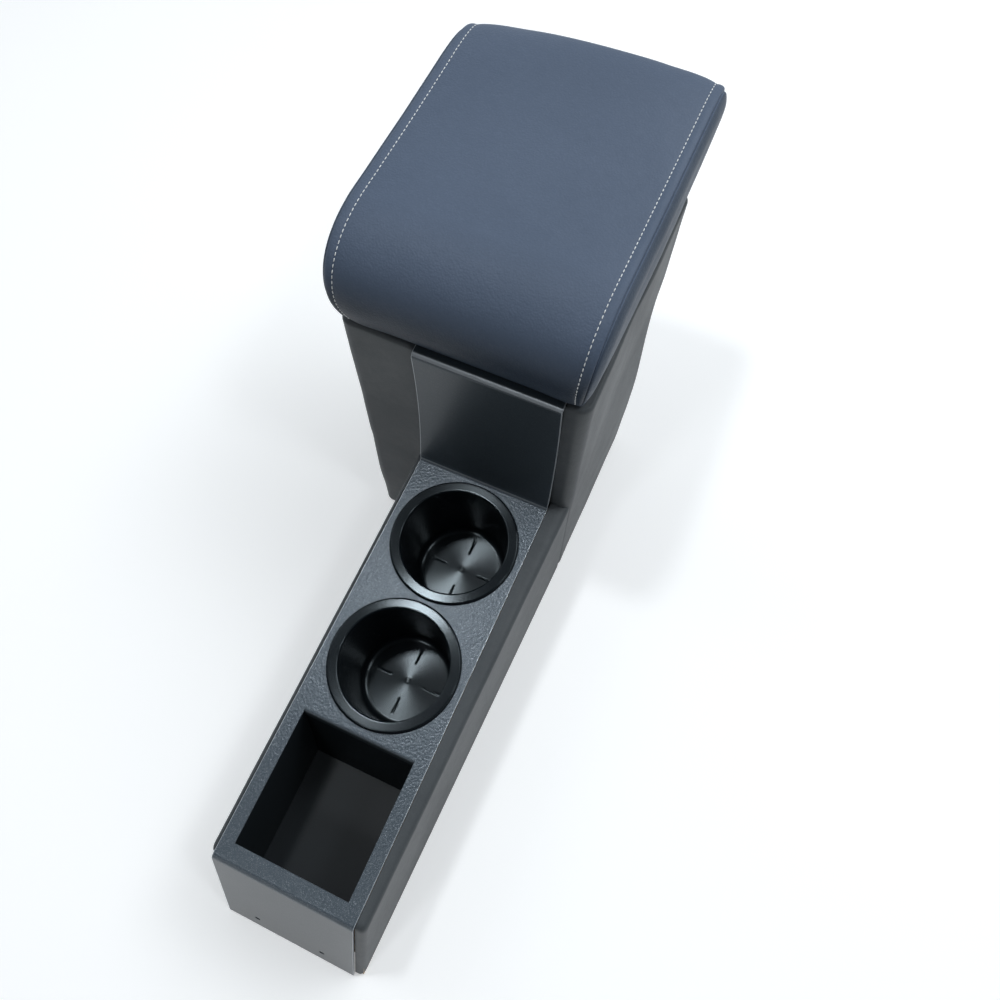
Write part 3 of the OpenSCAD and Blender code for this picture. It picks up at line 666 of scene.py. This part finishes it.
@dataclass
class DeckPlate:
    """Folded sheet with the flange, the deck and its openings, the upstand and its return."""
    width: float = 110.0
    bend_r: float = 6.0
    flange_lift: float = 0.6
    screw_x: float = 28.0
    screw_up: float = 17.0
    screw_r: float = 2.25
    pocket_y: float = 14.0
    pocket_w: float = 89.0
    pocket_l: float = 98.0
    hole_r: float = 44.45
    return_l: float = 16.0
    edge_r: float = 0.4

    def foot(self) -> tuple[float, float]:
        """Flange's foot in side view, on its outer face."""
        return -(DECK_H - self.flange_lift) * math.tan(FLANGE_LEAN), self.flange_lift

    def path(self) -> np.ndarray:
        """Outer face in side view, from the flange's foot to the end of the return."""
        top = BOX.height + BOX.cover
        foot, fold = self.foot(), (DECK_L, DECK_H)
        ahead = SHEET + 0.3
        crest = (BOX.front(top) - ahead - 3.2, top)
        rise = bezier([fold, (BOX.front(DECK_H + 43) - ahead + 1.3, DECK_H + 43),
                       (BOX.front(top - 50) - ahead + 1.3, top - 50), crest], 60)
        end = (crest[0] + self.return_l, top)
        return np.concatenate([
            [foot], corner(foot, (0, DECK_H), fold, self.bend_r, 16),
            corner((0, DECK_H), fold, rise[8], 2, 8), rise[8:-6],
            corner(rise[-7], crest, end, self.bend_r - 1, 14), [end]])

    def sheet(self, name: str, path: np.ndarray, x0: float, x1: float) -> bpy.types.Object:
        """Bends a strip of sheet along a path of its outer face."""
        ahead = np.gradient(path, axis=0)
        ahead /= np.linalg.norm(ahead, axis=1)[:, None]
        under = path + SHEET * np.stack([ahead[:, 1], -ahead[:, 0]], 1)
        return prism(name, np.concatenate([path, under[::-1]]), x0, x1)

    def build(self, wardrobe: Wardrobe) -> None:
        """Bends, cuts and coats the plate."""
        rear = self.pocket_y + self.pocket_l
        half = self.width / 2
        plate = self.sheet("coated_deck_plate", self.path(), DECK_X - half, DECK_X + half)
        half = self.pocket_w / 2
        opening = np.array([(self.pocket_y, 100), (self.pocket_y, 116),
                            (rear + 3, 116), (rear + 3, 100)], float)
        cut(plate, prism("cutter", opening, DECK_X - half, DECK_X + half))
        for y in (FRONT_CUP_Y, REAR_CUP_Y):
            cut(plate, rod((DECK_X, y, DECK_H), self.hole_r, 12))
        foot_y, foot_z = self.foot()
        screw_y = foot_y + self.screw_up * math.sin(FLANGE_LEAN)
        screw_z = foot_z + self.screw_up * math.cos(FLANGE_LEAN)
        for side in (-1, 1):
            centre = (DECK_X + side * self.screw_x, screw_y, screw_z)
            cut(plate, rod(centre, self.screw_r, 10, math.pi / 2 - FLANGE_LEAN, 48))
        low, bend, end = (rear - 2, DECK_H - 7), (rear, DECK_H), (rear + 5, DECK_H)
        lip = np.concatenate([[low], corner(low, bend, end, 3, 10), [end]])
        cut(plate, self.sheet("lip", lip, DECK_X - half, DECK_X + half), "UNION")
        modify(plate, "BEVEL", width=self.edge_r * MM, segments=3, limit_method="ANGLE",
               angle_limit=math.radians(38), harden_normals=False)
        smooth(plate, 30)
        modify(plate, "WEIGHTED_NORMAL", keep_sharp=True, weight=60)
        wardrobe.hand_over(plate, "console", [Finish.deck_paint], ["deck_plate"])


@dataclass
class CupHolder:
    """Turned cup: flat rim, tapering wall, rounded foot, floor with four grooves and a nub."""
    name: str
    node: str
    y: float
    rim_r: float = 50.0
    rim_h: float = 2.5
    mouth_r: float = 41.25
    floor_r: float = 34.0
    floor_z: float = 35.0
    wall: float = 2.0
    foot_r: float = 5.0
    groove_from: float = 15.0
    groove_to: float = 28.5
    groove_depth: float = 0.3
    count: int = 192

    def profile(self) -> np.ndarray:
        """Half section from the middle of the floor over the rim and down the outside."""
        f, top = self.floor_z, DECK_H + self.rim_h
        mouth, foot = (self.mouth_r, top), (self.floor_r + 2.5, f)
        bed = [(r, f) for r in (3.4, 5, 8, 11, 14, 14.6)] + [(r, f) for r in np.arange(15.2, 28.2, 0.8)]
        track = [(28.6, f), (29.2, f), (31.0, f), (31.6, f), (31.9, f - 0.6), (32.9, f - 0.6), (33.2, f)]
        nub = [(0, f + 0.2), (0.7, f + 0.2), (0.95, f + 0.75), (2.0, f + 0.9), (2.55, f + 0.6),
               (2.75, f + 0.05)]
        inside = corner((0, f), foot, mouth, self.foot_r, 12)
        lip = corner(foot, mouth, (self.rim_r, top), 1.4, 8)
        wall = np.linspace(inside[-1], lip[0], 22)[1:-1]
        shoulder = corner((self.mouth_r, top), (self.rim_r - 1.4, top), (self.rim_r, DECK_H + 0.9), 0.9, 6)
        edge = corner((self.rim_r - 1.4, top), (self.rim_r - 0.1, DECK_H + 0.8), (self.rim_r, DECK_H), 0.4, 4)
        back = corner((self.mouth_r + self.wall, top), (foot[0] + self.wall, f - self.wall), (0, f - self.wall),
                      self.foot_r + self.wall, 8)
        flat = [(self.mouth_r + 1.9, top), (self.rim_r - 3.0, top)]
        parts = [nub, bed, track, inside, wall, lip, flat, shoulder, edge, [(self.rim_r, DECK_H + 0.02)],
                 [(self.mouth_r + self.wall, DECK_H + 0.02)], back, [(0, f - self.wall)]]
        return np.concatenate([np.asarray(p, float) for p in parts])

    def build(self, wardrobe: Wardrobe) -> None:
        """Turns the cup, sinks its grooves and gives it its gloss."""
        profile = self.profile()
        angles = np.linspace(0, 2 * math.pi, self.count, endpoint=False)
        r, z = (np.repeat(profile[:, k:k + 1], self.count, 1) for k in (0, 1))
        turn = (angles + math.pi / 4) % (math.pi / 2) - math.pi / 4
        on_bed = (np.abs(z - self.floor_z) < 0.01) & (r > self.groove_from) & (r < self.groove_to)
        z = z - self.groove_depth * (1 - ease(0.3, 0.6, np.abs(r * np.sin(turn)))) * on_bed
        x, y = DECK_X + r * np.cos(angles), self.y + r * np.sin(angles)
        points = np.stack([x, y, z], 2).reshape(-1, 3)
        piece = add_mesh(self.name, points, bands(len(profile), self.count, True))
        above = (places_of(piece)[:, 2] - self.floor_z).astype(np.float32)
        piece.data.attributes.new("above_floor", "FLOAT", "POINT").data.foreach_set("value", above)
        smooth(piece, 40)
        wardrobe.hand_over(piece, "console", [Finish.gloss_black], [self.node])


@dataclass
class SideWrap:
    """Leatherette over one board beside the deck, rounded on its outer edges."""
    name: str
    node: str
    side: int
    seed: float
    out: float = 62.9
    flare: float = 7.0
    round_r: float = 4.2
    start: float = 55.5
    setback: float = 4.323
    top: float = 108.5
    thick: float = 2.2
    lift: float = 1.0
    reach: float = 6.5
    along: int = 170
    up: int = 44

    def corners(self) -> list[tuple[float, float]]:
        """Side view of the wrap: front foot, front top, rear top, rear foot."""
        front = [((z - DECK_H) * math.tan(FLANGE_LEAN) + self.setback - self.thick, z)
                 for z in (self.lift, self.top)]
        return front + [(BOX.front(z) + self.reach, z) for z in (self.top, self.lift)]

    def ring(self, inset: float) -> np.ndarray:
        """Side view moved inwards, with the same number of points on each side at any inset."""
        c = np.array(self.corners())
        middle = c.mean(0)
        lines = []
        # The last side is the foot, which stays where it is
        for a, b, room in zip(c, np.roll(c, -1, 0), (inset, inset, inset, 0.0)):
            d = (b - a) / np.linalg.norm(b - a)
            inward = np.array([d[1], -d[0]])
            inward *= 1 if inward @ (middle - a) > 0 else -1
            lines.append((a + inward * room, d))
        moved = []
        for k in range(4):
            (p, d), (q, e) = lines[k - 1], lines[k]
            moved.append(p + d * np.linalg.solve(np.stack([d, -e], 1), q - p)[0])
        rounds = (1.5, max(6.0 - inset * 0.5, 2.0), 1.5, 1.5)
        arcs = [corner(moved[k - 1], moved[k], moved[(k + 1) % 4], rounds[k], 6) for k in range(4)]
        counts = (self.up, self.along, self.up, self.along)
        return np.concatenate([
            evenly(np.concatenate([arcs[k][3:], arcs[(k + 1) % 4][:4]]), counts[k] + 1)[:-1] for k in range(4)])

    def placed(self, across: float, ring: np.ndarray) -> np.ndarray:
        """Puts a side view at its distance from the deck's middle, further out towards the box."""
        share = (across - self.start) / (self.out - self.start)
        return np.c_[DECK_X + self.side * (across + self.flare * share * ring[:, 0] / DECK_L), ring]

    def folds(self, p: np.ndarray) -> np.ndarray:
        """How far the hide stands out from its board at each point, in millimetres."""
        outer = ease(self.start + 2, self.out, np.abs(p[:, 0] - DECK_X)) * ease(1, 12, p[:, 2])
        return 0.3 * waves(p, 46.0, self.seed) * outer

    def build(self, wardrobe: Wardrobe) -> None:
        """Forms the wrap, lets it wave a little and gives it its thickness."""
        steps = [(self.start, 0.0), (self.out - self.round_r, 0.0)]
        steps += [(self.out - short, inset) for short, inset in rounding(self.round_r, 8)]
        rings = [self.placed(x, self.ring(d)) for x, d in steps]
        loop = rings[-1]
        n, m = self.up, self.along
        west, north = loop[:n + 1], loop[n:n + m + 1]
        east = loop[n + m:2 * n + m + 1][::-1]
        south = np.concatenate([loop[2 * n + m:], loop[:1]])[::-1]
        s, t = np.linspace(0, 1, m + 1)[:, None, None], np.linspace(0, 1, n + 1)[None, :, None]
        # The outer face is filled in between its four edges
        patch = ((1 - s) * west[None] + s * east[None] + (1 - t) * south[:, None] + t * north[:, None]
                 - (1 - s) * (1 - t) * west[0] - (1 - s) * t * west[-1]
                 - s * (1 - t) * east[0] - s * t * east[-1])
        points = np.concatenate(rings + [patch.reshape(-1, 3)])
        base = len(rings) * len(loop)
        faces = bands(len(rings), len(loop), True) + [[base + i for i in f] for f in bands(m + 1, n + 1)]
        piece = add_mesh(self.name, points, faces)
        if sum(f.normal.x * f.area for f in piece.data.polygons) * self.side < 0:
            piece.data.flip_normals()
        swell(piece, self.folds(places_of(piece)))
        modify(piece, "SOLIDIFY", thickness=self.thick * MM, offset=-1)
        smooth(piece, 60)
        wardrobe.hand_over(piece, "console", [Finish.body_leatherette], [self.node])


def pressed(z: np.ndarray, share: np.ndarray, start: float, under: float, split: float,
            over: float) -> np.ndarray:
    """Heights of a hide that is pressed down where metal lies on it.

    Args:
        z: heights of its points.
        share: 1 where it is pressed and 0 where it isn't.
        start: height that points have to pass to be moved.
        under: most height of its underside.
        split: height between its underside and its upper side.
        over: most height of its upper side.

    Returns:
        The new heights.
    """
    return np.where(z > start, z + share * (np.minimum(z, np.where(z > split, over, under)) - z), z)


@dataclass
class BoxWrap:
    """Padded leatherette round the storage box, folded over the boards' top edges.

    Its right face is fuller low down and drawn in higher up. On top it is pressed flat below the plate's
    return, whose room ends plate_end behind the box's foot, and below the hinge's leaf.
    """
    lift: float = 1.0
    rows: int = 84
    belly: float = 2.6
    belly_z: float = 55.0
    waist: float = 1.6
    waist_z: float = 155.0
    plate_half: float = 56.0
    plate_end: float = 63.4
    hinge_half: float = 76.0
    hinge_y: float = 526.0

    def ring(self, z: float, inset: float) -> np.ndarray:
        """Outline of the box at a height, moved inwards, with the same number of points at any height."""
        left, right = BOX.sides(z)
        x0, x1, y0, y1 = left + inset, right - inset, BOX.front(z) + inset, BOX.rear(z) - inset
        c = [(x0, y0), (x1, y0), (x1, y1), (x0, y1)]
        radius = max(BOX.corner_r - inset, 0.5)
        arcs = [corner(c[k - 1], c[k], c[(k + 1) % 4], radius, 10) for k in range(4)]
        counts = (66, 60, 66, 60)
        sides = []
        for k in range(4):
            straight = np.linspace(arcs[k][-1], arcs[(k + 1) % 4][0], counts[k] + 1)[1:-1]
            sides += [arcs[k], straight]
        flat = np.concatenate(sides)
        return np.c_[flat, np.full(len(flat), z)]

    def folds(self, p: np.ndarray, n: np.ndarray) -> np.ndarray:
        """How far the hide stands out from its boards at each point, in millimetres."""
        outer = ease(0.2, 0.6, np.hypot(n[:, 0], n[:, 1]))
        full = self.belly * bell(p[:, 2] - self.belly_z, 38.0) - self.waist * bell(p[:, 2] - self.waist_z, 32.0)
        full *= ease(360, 440, p[:, 1]) * ease(0.5, 0.9, n[:, 0]) * (p[:, 0] > 60)
        return outer * (full + 1.2 * waves(p, 58.0, 3.1) + 0.3 * waves(p, 23.0, 8.7))

    def build(self, wardrobe: Wardrobe) -> None:
        """Lofts the wrap, folds it and makes room for the plate's return and the hinge."""
        top, r = BOX.height + BOX.cover, BOX.cover
        outer = [self.ring(z, 0.0) for z in np.linspace(self.lift, top - r, self.rows)]
        over = [self.ring(top - short, inset) for short, inset in rounding(r, 6)]
        inner = [self.ring(top, 7.0), self.ring(top, BOX.wall - 0.6), self.ring(top - 0.6, BOX.wall),
                 self.ring(BOX.height + 0.4, BOX.wall), self.ring(BOX.height + 0.4, r), self.ring(self.lift, r)]
        rings = outer + over + inner
        count = len(rings[0])
        piece = add_mesh("box_wrap", np.concatenate(rings), bands(len(rings), count, True, True))
        swell(piece, self.folds(places_of(piece), normals_of(piece)))
        p = places_of(piece)
        beside = ease(0, 2.5, np.abs(p[:, 0] - DECK_X) - self.plate_half)
        behind = ease(0, 4, p[:, 1] - BOX.front_foot - self.plate_end)
        p[:, 2] = pressed(p[:, 2], (1 - beside) * (1 - behind), 234.2, 234.35, 235.0, 235.2)
        beside = ease(0, 2, np.abs(p[:, 0]) - self.hinge_half)
        behind = ease(0, 3, p[:, 1] - self.hinge_y)
        p[:, 2] = pressed(p[:, 2], (1 - beside) * behind, 233.2, 233.3, 234.6, 233.6)
        move(piece, p)
        smooth(piece, 50)
        wardrobe.hand_over(piece, "console", [Finish.body_leatherette],
                           ["right_side_cover", "box_left_cover", "box_rear_cover"])


@dataclass
class Lid:
    """Padded lid: one crowned form with a seam and a row of stitches along each side."""
    front: float = 349.312
    rear: float = 547.151
    base: float = 239.0
    height: float = 69.5
    width: float = 195.0
    bow: float = 7.5
    skew: float = 12.0
    tuck: float = 9.5
    seam_x: float = 93.0
    stitch_x: float = 85.3
    nose_out: float = 4.5
    edge_r: float = 3.0
    drop: float = 0.5
    upper: int = 250
    lower: int = 60
    pitch: float = 3.7
    stitch_share: float = 0.74
    thread_r: float = 0.38

    def side_view(self) -> np.ndarray:
        """Upper outline from the lower front edge over the nose and the top to the lower rear edge."""
        f, r, z, top = self.front, self.rear, self.base, self.base + self.height
        z0 = z - self.drop
        nose = bezier([(f - self.nose_out, z + 27), (f - self.nose_out - 0.5, top - 20.5),
                       (f + 12.75, top), (f + 51, top)], 50)
        tail = bezier([(r - 17, top - 4.3), (r + 21, top - 4.5), (r + 34, top - 13), (r + 17, top - 31)], 50)
        crest = bezier([nose[-1], (f + 90, top - 2.5), (r - 60, top - 4), tail[0]], 50)
        face = bezier([(f + 1.2, z0 + 2.0), (f - 1.5, z + 9), (f - self.nose_out, z + 18), nose[0]], 20)
        back = bezier([tail[-1], (r + 15.2, top - 37), (r + 9.3, z + 12), (r - 0.5, z0 + 2.0)], 20)
        front_turn = bezier([(f + 4, z0), (f + 2.4, z0), (f + 1.5, z0 + 0.8), face[0]], 6)
        rear_turn = bezier([back[-1], (r - 0.9, z0 + 0.8), (r - 1.9, z0), (r - 3.5, z0)], 6)
        path = np.concatenate([front_turn, face, nose, crest, tail, back, rear_turn])
        return evenly(path, self.upper)

    def outline(self) -> np.ndarray:
        """Closed side view of the lid."""
        upper = self.side_view()
        under = np.linspace(upper[-1], upper[0], self.lower + 1)[1:-1]
        return np.concatenate([upper, under])

    def section(self, at: np.ndarray) -> np.ndarray:
        """Place across, crown and inset at distances along the section from the middle outwards."""
        half = self.width / 2
        knots = [-48.75, 0, 48.75, 85, 93, 98.8, 108, 112]
        rows = [(-48.75, 2.25, 0), (0, 3, 0), (48.75, 2.25, 0), (85, 0, 0), (93, -1.2, 1.2),
                (half - 1.2, -6, 6), (half, -15, 15), (half + 0.2, -19, 19)]
        return through(knots, np.array(rows), at)

    def ring(self, outline: np.ndarray, side: int, row: np.ndarray) -> np.ndarray:
        """Outline of the lid at one place across."""
        across, crown, inset = row
        middle, half = (self.front + self.rear) / 2, (self.rear - self.front) / 2
        share = side * across / (self.width / 2)
        up = outline[:, 1] - self.base
        reach = self.bow * (1 - share * share) + self.skew * (1 + share) / 2
        back = np.clip((outline[:, 0] - middle) / half, 0, 1)
        y = middle + (outline[:, 0] - middle) * (half - inset) / half
        y += reach * back * back * np.sin(np.clip(up / self.height, 0, 1) * math.pi / 2)
        lift = inset * 0.3
        grown = up * (self.height + crown) / self.height + lift * (1 - up / self.height)
        raised = np.where(up > 0, grown, lift + up)
        return self.tucked(np.stack([np.full(len(y), side * across), y, self.base + raised], 1))

    def draw(self, across: np.ndarray, z: np.ndarray) -> np.ndarray:
        """How far the side is drawn in at a place across and a height."""
        low = 1 - np.clip((z - self.base) / self.height, 0, 1)
        return self.tuck * np.minimum(np.abs(across) / (self.width / 2), 1) ** 8 * low * low

    def tucked(self, p: np.ndarray) -> np.ndarray:
        """Draws points of the straight-sided form in."""
        return p - np.c_[np.sign(p[:, 0]) * self.draw(p[:, 0], p[:, 2]), np.zeros((len(p), 2))]

    def across(self, p: np.ndarray) -> np.ndarray:
        """Distance from the middle that points had before the sides were drawn in."""
        found = np.abs(p[:, 0])
        for _ in range(24):
            found = np.abs(p[:, 0]) + self.draw(found, p[:, 2])
        return found

    def padding(self, p: np.ndarray) -> np.ndarray:
        """How far the padding pushes the hide out, or the seams pull it in, in millimetres."""
        across = self.across(p)
        on_top = ease(self.base + 2.5, self.base + 7, p[:, 2])
        seam = -1.3 * bell(across - self.seam_x, 0.75) - 0.35 * bell(across - self.seam_x, 2.6)
        row = -0.32 * bell(across - self.stitch_x, 1.1)
        welt = 0.30 * bell(across - (self.seam_x + self.stitch_x) / 2, 2.4)
        soft = 0.30 * waves(p, 52.0, 5.3) + 0.10 * waves(p, 17.0, 1.9)
        return on_top * (seam + row + welt + soft)

    def build(self, wardrobe: Wardrobe) -> None:
        """Forms the pad and sews it."""
        outline = self.outline()
        # Rows lie closest round the seam and the stitches
        steps = ((0, 80, 3.2), (80, 96.2, 0.5), (96.5, 108.1, 0.9))
        rows = self.section(np.unique(np.concatenate([np.arange(*step) for step in steps])))
        rings = [self.ring(outline, 1, row) for row in rows[::-1]]
        rings += [self.ring(outline, -1, row) for row in rows[1:]]
        caps, count = [], len(outline)
        for side, edge in ((1, rings[0]), (-1, rings[-1])):
            rim = np.c_[np.full(count, side * rows[-1][0]), edge[:, 1:]]
            heart = rim.mean(0)
            shrink = [self.tucked(rim + (heart - rim) * t + [side * 1.6 * (1 - (1 - t) ** 2), 0, 0])
                      for t in np.linspace(0, 0.94, 15)[1:]]
            caps.append(shrink[::-1] if side > 0 else shrink)
        piece = tube("lid_pad", caps[0] + rings + caps[1])
        swell(piece, self.padding(places_of(piece)))
        smooth(piece, 60)
        across = self.across(places_of(piece))
        for face in piece.data.polygons:
            face.material_index = int(np.mean([across[v] for v in face.vertices]) > self.seam_x)
        wardrobe.hand_over(piece, "lid", [Finish.lid_leatherette, Finish.lid_side_leatherette],
                           ["lid_top_cover", "lid_left_cover", "lid_right_cover"])
        self.stitch(wardrobe)

    def stitch(self, wardrobe: Wardrobe) -> None:
        """Sews a row of stitches along each side with Geometry Nodes."""
        row = self.section(np.array([self.stitch_x]))[0]
        lines = []
        for side in (-1, 1):
            line = self.ring(self.side_view(), side, row)
            ahead = np.gradient(line, axis=0)
            ahead /= np.linalg.norm(ahead, axis=1)[:, None]
            out = np.stack([np.zeros(len(line)), -ahead[:, 2], ahead[:, 1]], 1)
            lines.append((line + out * (self.padding(line) + 0.12)[:, None])[5:-5])
        count = len(lines[0])
        edges = [(k * count + i, k * count + i + 1) for k in range(2) for i in range(count - 1)]
        piece = add_mesh("lid_stitches", np.concatenate(lines), [], edges)
        kit = StitchKit(wardrobe.get(Finish.thread))
        modifier = piece.modifiers.new("stitches", "NODES")
        modifier.node_group = kit.tree
        for name, value in (("Pitch", self.pitch * MM), ("Length", self.pitch * self.stitch_share * MM),
                            ("Radius", self.thread_r * MM), ("Seed", 7)):
            modifier[kit.socket(name)] = value
        settle(piece)
        smooth(piece, 70)
        wardrobe.hand_over(piece, "lid")


class StitchKit(TreeKit):
    """Geometry Nodes that lay one thread after another along every line of a mesh."""

    def __init__(self, thread: bpy.types.Material) -> None:
        """Builds the tree, whose stitches get the given material."""
        super().__init__(bpy.data.node_groups.new("stitch_rows", "GeometryNodeTree"))
        sockets = (("Lines", "INPUT", "Geometry"), ("Pitch", "INPUT", "Float"), ("Length", "INPUT", "Float"),
                   ("Radius", "INPUT", "Float"), ("Seed", "INPUT", "Int"), ("Stitches", "OUTPUT", "Geometry"))
        for name, way, kind in sockets:
            self.tree.interface.new_socket(name, in_out=way, socket_type=f"NodeSocket{kind}")
        given = self.node("NodeGroupInput").outputs
        curve = self.made("GeometryNodeMeshToCurve", {"Mesh": given["Lines"]})
        even = self.made("GeometryNodeResampleCurve", {"Curve": curve, "Length": given["Pitch"]}, mode="LENGTH")
        bead = self.made("GeometryNodeMeshUVSphere", {"Segments": 6, "Rings": 5, "Radius": 1.0})
        half = self.made("ShaderNodeMath", {0: given["Length"], 1: 0.5}, operation="MULTIPLY")
        size = self.made("ShaderNodeCombineXYZ", {"X": given["Radius"], "Y": given["Radius"], "Z": half})
        form = self.made("GeometryNodeTransform", {"Geometry": bead, "Scale": size})
        tangent = self.made("GeometryNodeInputTangent", {})
        along = self.made("FunctionNodeAlignRotationToVector", {"Vector": tangent}, axis="Z")
        lean = self.node("FunctionNodeRandomValue", {2: -0.07, 3: 0.07, 8: given["Seed"]}, data_type="FLOAT")
        turn = self.made("FunctionNodeAxisAngleToRotation", {"Axis": (1.0, 0.0, 0.0), "Angle": lean.outputs[1]})
        turned = self.made("FunctionNodeRotateRotation", {"Rotation": along, "Rotate By": turn},
                           rotation_space="LOCAL")
        laid = self.made("GeometryNodeInstanceOnPoints", {"Points": even, "Instance": form, "Rotation": turned})
        real = self.made("GeometryNodeRealizeInstances", {"Geometry": laid})
        dyed = self.made("GeometryNodeSetMaterial", {"Geometry": real, "Material": thread})
        self.node("NodeGroupOutput", {"Stitches": dyed})

    def socket(self, name: str) -> str:
        """Identifier of the input with that name."""
        return next(s.identifier for s in self.tree.interface.items_tree if s.name == name)


@dataclass(frozen=True)
class Lamp:
    """One soft lamp: its place and size in metres and its power in watts."""
    name: str
    place: Triple
    width: float
    height: float
    power: float
    colour: Colour = (0.93, 0.97, 1.0)


@dataclass
class Studio:
    """Pale floor, soft lights and the photograph's camera, whose eye is in millimetres of the drawing."""
    floor_size: float = 6000.0
    floor_glow: float = 0.28
    sky_colour: Colour = (0.88, 0.95, 1.0)
    sky_level: float = 0.55
    front_sky: float = 0.06
    top_sky: float = 0.25
    aim: Triple = (0.02, 0.0, 0.12)
    lens: float = 30.963
    eye: Triple = (162.2, 104.3, 734.8)
    right: Triple = (0.90979, 0.41323, -0.03901)
    down: Triple = (0.37250, -0.85433, -0.36242)
    ahead: Triple = (-0.18309, 0.31520, -0.93119)
    lamps: tuple[Lamp, ...] = (
        Lamp("key", (-0.38, 0.26, 1.9), 0.15, 0.15, 6.5),
        Lamp("behind", (0.55, 1.35, 1.7), 1.2, 0.8, 11.0),
        Lamp("top_right", (0.9, 0.9, 1.8), 0.7, 0.7, 7.5),
        Lamp("left", (-1.3, 0.2, 1.6), 0.5, 0.8, 2.5),
        Lamp("front_low", (-0.35, -1.6, 1.1), 0.5, 0.25, 0.8),
        Lamp("front_spot", (-0.36, -1.0, 1.9), 0.25, 0.25, 3.5),
        Lamp("right_spot", (0.95, 0.15, 1.9), 0.25, 0.25, 3.5),
    )

    def build(self) -> None:
        """Sets everything up around the object."""
        self.floor()
        self.sky()
        self.lights()
        self.camera()

    def floor(self) -> None:
        """Large pale floor."""
        corners = self.floor_size * np.array([(-1, -1, 0), (1, -1, 0), (1, 1, 0), (-1, 1, 0)], float)
        floor = add_mesh("floor", corners, [[0, 1, 2, 3]])
        kit = ShaderKit("pale_floor")
        floor.data.materials.append(kit.finish(
            Base_Color=kit.blend(kit.noise(2.0), (0.90, 0.90, 0.90), (0.92, 0.92, 0.92)),
            Roughness=0.9, Specular_IOR_Level=0.1,
            Emission_Color=(1.0, 1.0, 1.0), Emission_Strength=self.floor_glow))

    def sky(self) -> None:
        """Soft sky, bright at the sides and behind, darker overhead and in front."""
        world = bpy.data.worlds.new("studio")
        bpy.context.scene.world = world
        world.use_nodes = True
        kit = PatternKit(world.node_tree, "Generated")
        around = kit.axis("Y").ramp(-0.5, 0.35, self.front_sky, self.sky_level)
        level = around * kit.axis("Z").ramp(0.8, 0.96, 1.0, self.top_sky)
        light = kit.made("ShaderNodeBackground", {"Color": (*self.sky_colour, 1.0), "Strength": level})
        kit.node("ShaderNodeOutputWorld", {"Surface": light})

    def lights(self) -> None:
        """Soft lamps round the object."""
        for lamp in self.lamps:
            data = bpy.data.lights.new(lamp.name, "AREA")
            data.shape = "RECTANGLE"
            data.size, data.size_y, data.energy = lamp.width, lamp.height, lamp.power
            data.color = lamp.colour
            light = bpy.data.objects.new(lamp.name, data)
            light.location = lamp.place
            light.rotation_euler = (Vector(self.aim) - Vector(lamp.place)).to_track_quat("-Z", "Y").to_euler()
            bpy.context.scene.collection.objects.link(light)
        view = bpy.context.scene.view_settings
        view.view_transform = "Standard"
        view.look = "None"
        view.exposure = 0.0

    def camera(self) -> None:
        """Camera at the photograph's place."""
        data = bpy.data.cameras.new("camera")
        data.lens, data.sensor_width = self.lens, 36.0
        data.clip_start = 0.02
        camera = bpy.data.objects.new("camera", data)
        turned = Matrix((Vector(self.right), -Vector(self.down), -Vector(self.ahead))).transposed().to_4x4()
        x, y, z = self.eye
        camera.matrix_world = Matrix.Translation(Vector((x, y - BENCH_MID, z)) * MM) @ turned
        bpy.context.scene.collection.objects.link(camera)
        bpy.context.scene.camera = camera


NODE_FINISHES: dict[str, Finish] = {
    "pocket_tray": Finish.matt_black,
    "bin_liner": Finish.felt,
    "lid_lining": Finish.felt,
    "lid_foam": Finish.foam,
    **{n: Finish.plywood for n in (
        "right_side_board", "left_side_board", "right_rail", "front_board", "box_front_board",
        "box_left_board", "box_right_board", "box_rear_board", "box_floor_board", "lid_board")},
    **{n: Finish.zinc for n in (
        "plate_screws", "hinge_fixed_leaf", "hinge_pin", "hinge_fixed_screws", "hinge_moving_leaf",
        "hinge_lid_screws")},
}


def main() -> None:
    """Builds the armrest's visible pieces and the studio around them."""
    logging.basicConfig(level=logging.INFO, format="%(name)s: %(message)s")
    wardrobe = Wardrobe()
    for name, finish in NODE_FINISHES.items():
        wardrobe.repaint(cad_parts[name], finish)
        LOG.info("%s keeps its CAD mesh in %s", name, finish.name)
    DeckPlate().build(wardrobe)
    CupHolder("front_cup", "front_cup_holder", FRONT_CUP_Y).build(wardrobe)
    CupHolder("rear_cup", "rear_cup_holder", REAR_CUP_Y).build(wardrobe)
    SideWrap("right_side_wrap", "right_side_cover", 1, 4.4).build(wardrobe)
    SideWrap("left_side_wrap", "left_side_cover", -1, 6.2, out=57.8, flare=0.0, round_r=2.2,
             setback=7.0).build(wardrobe)
    BoxWrap().build(wardrobe)
    Lid().build(wardrobe)
    Studio().build()


if __name__ == "__main__":
    main()
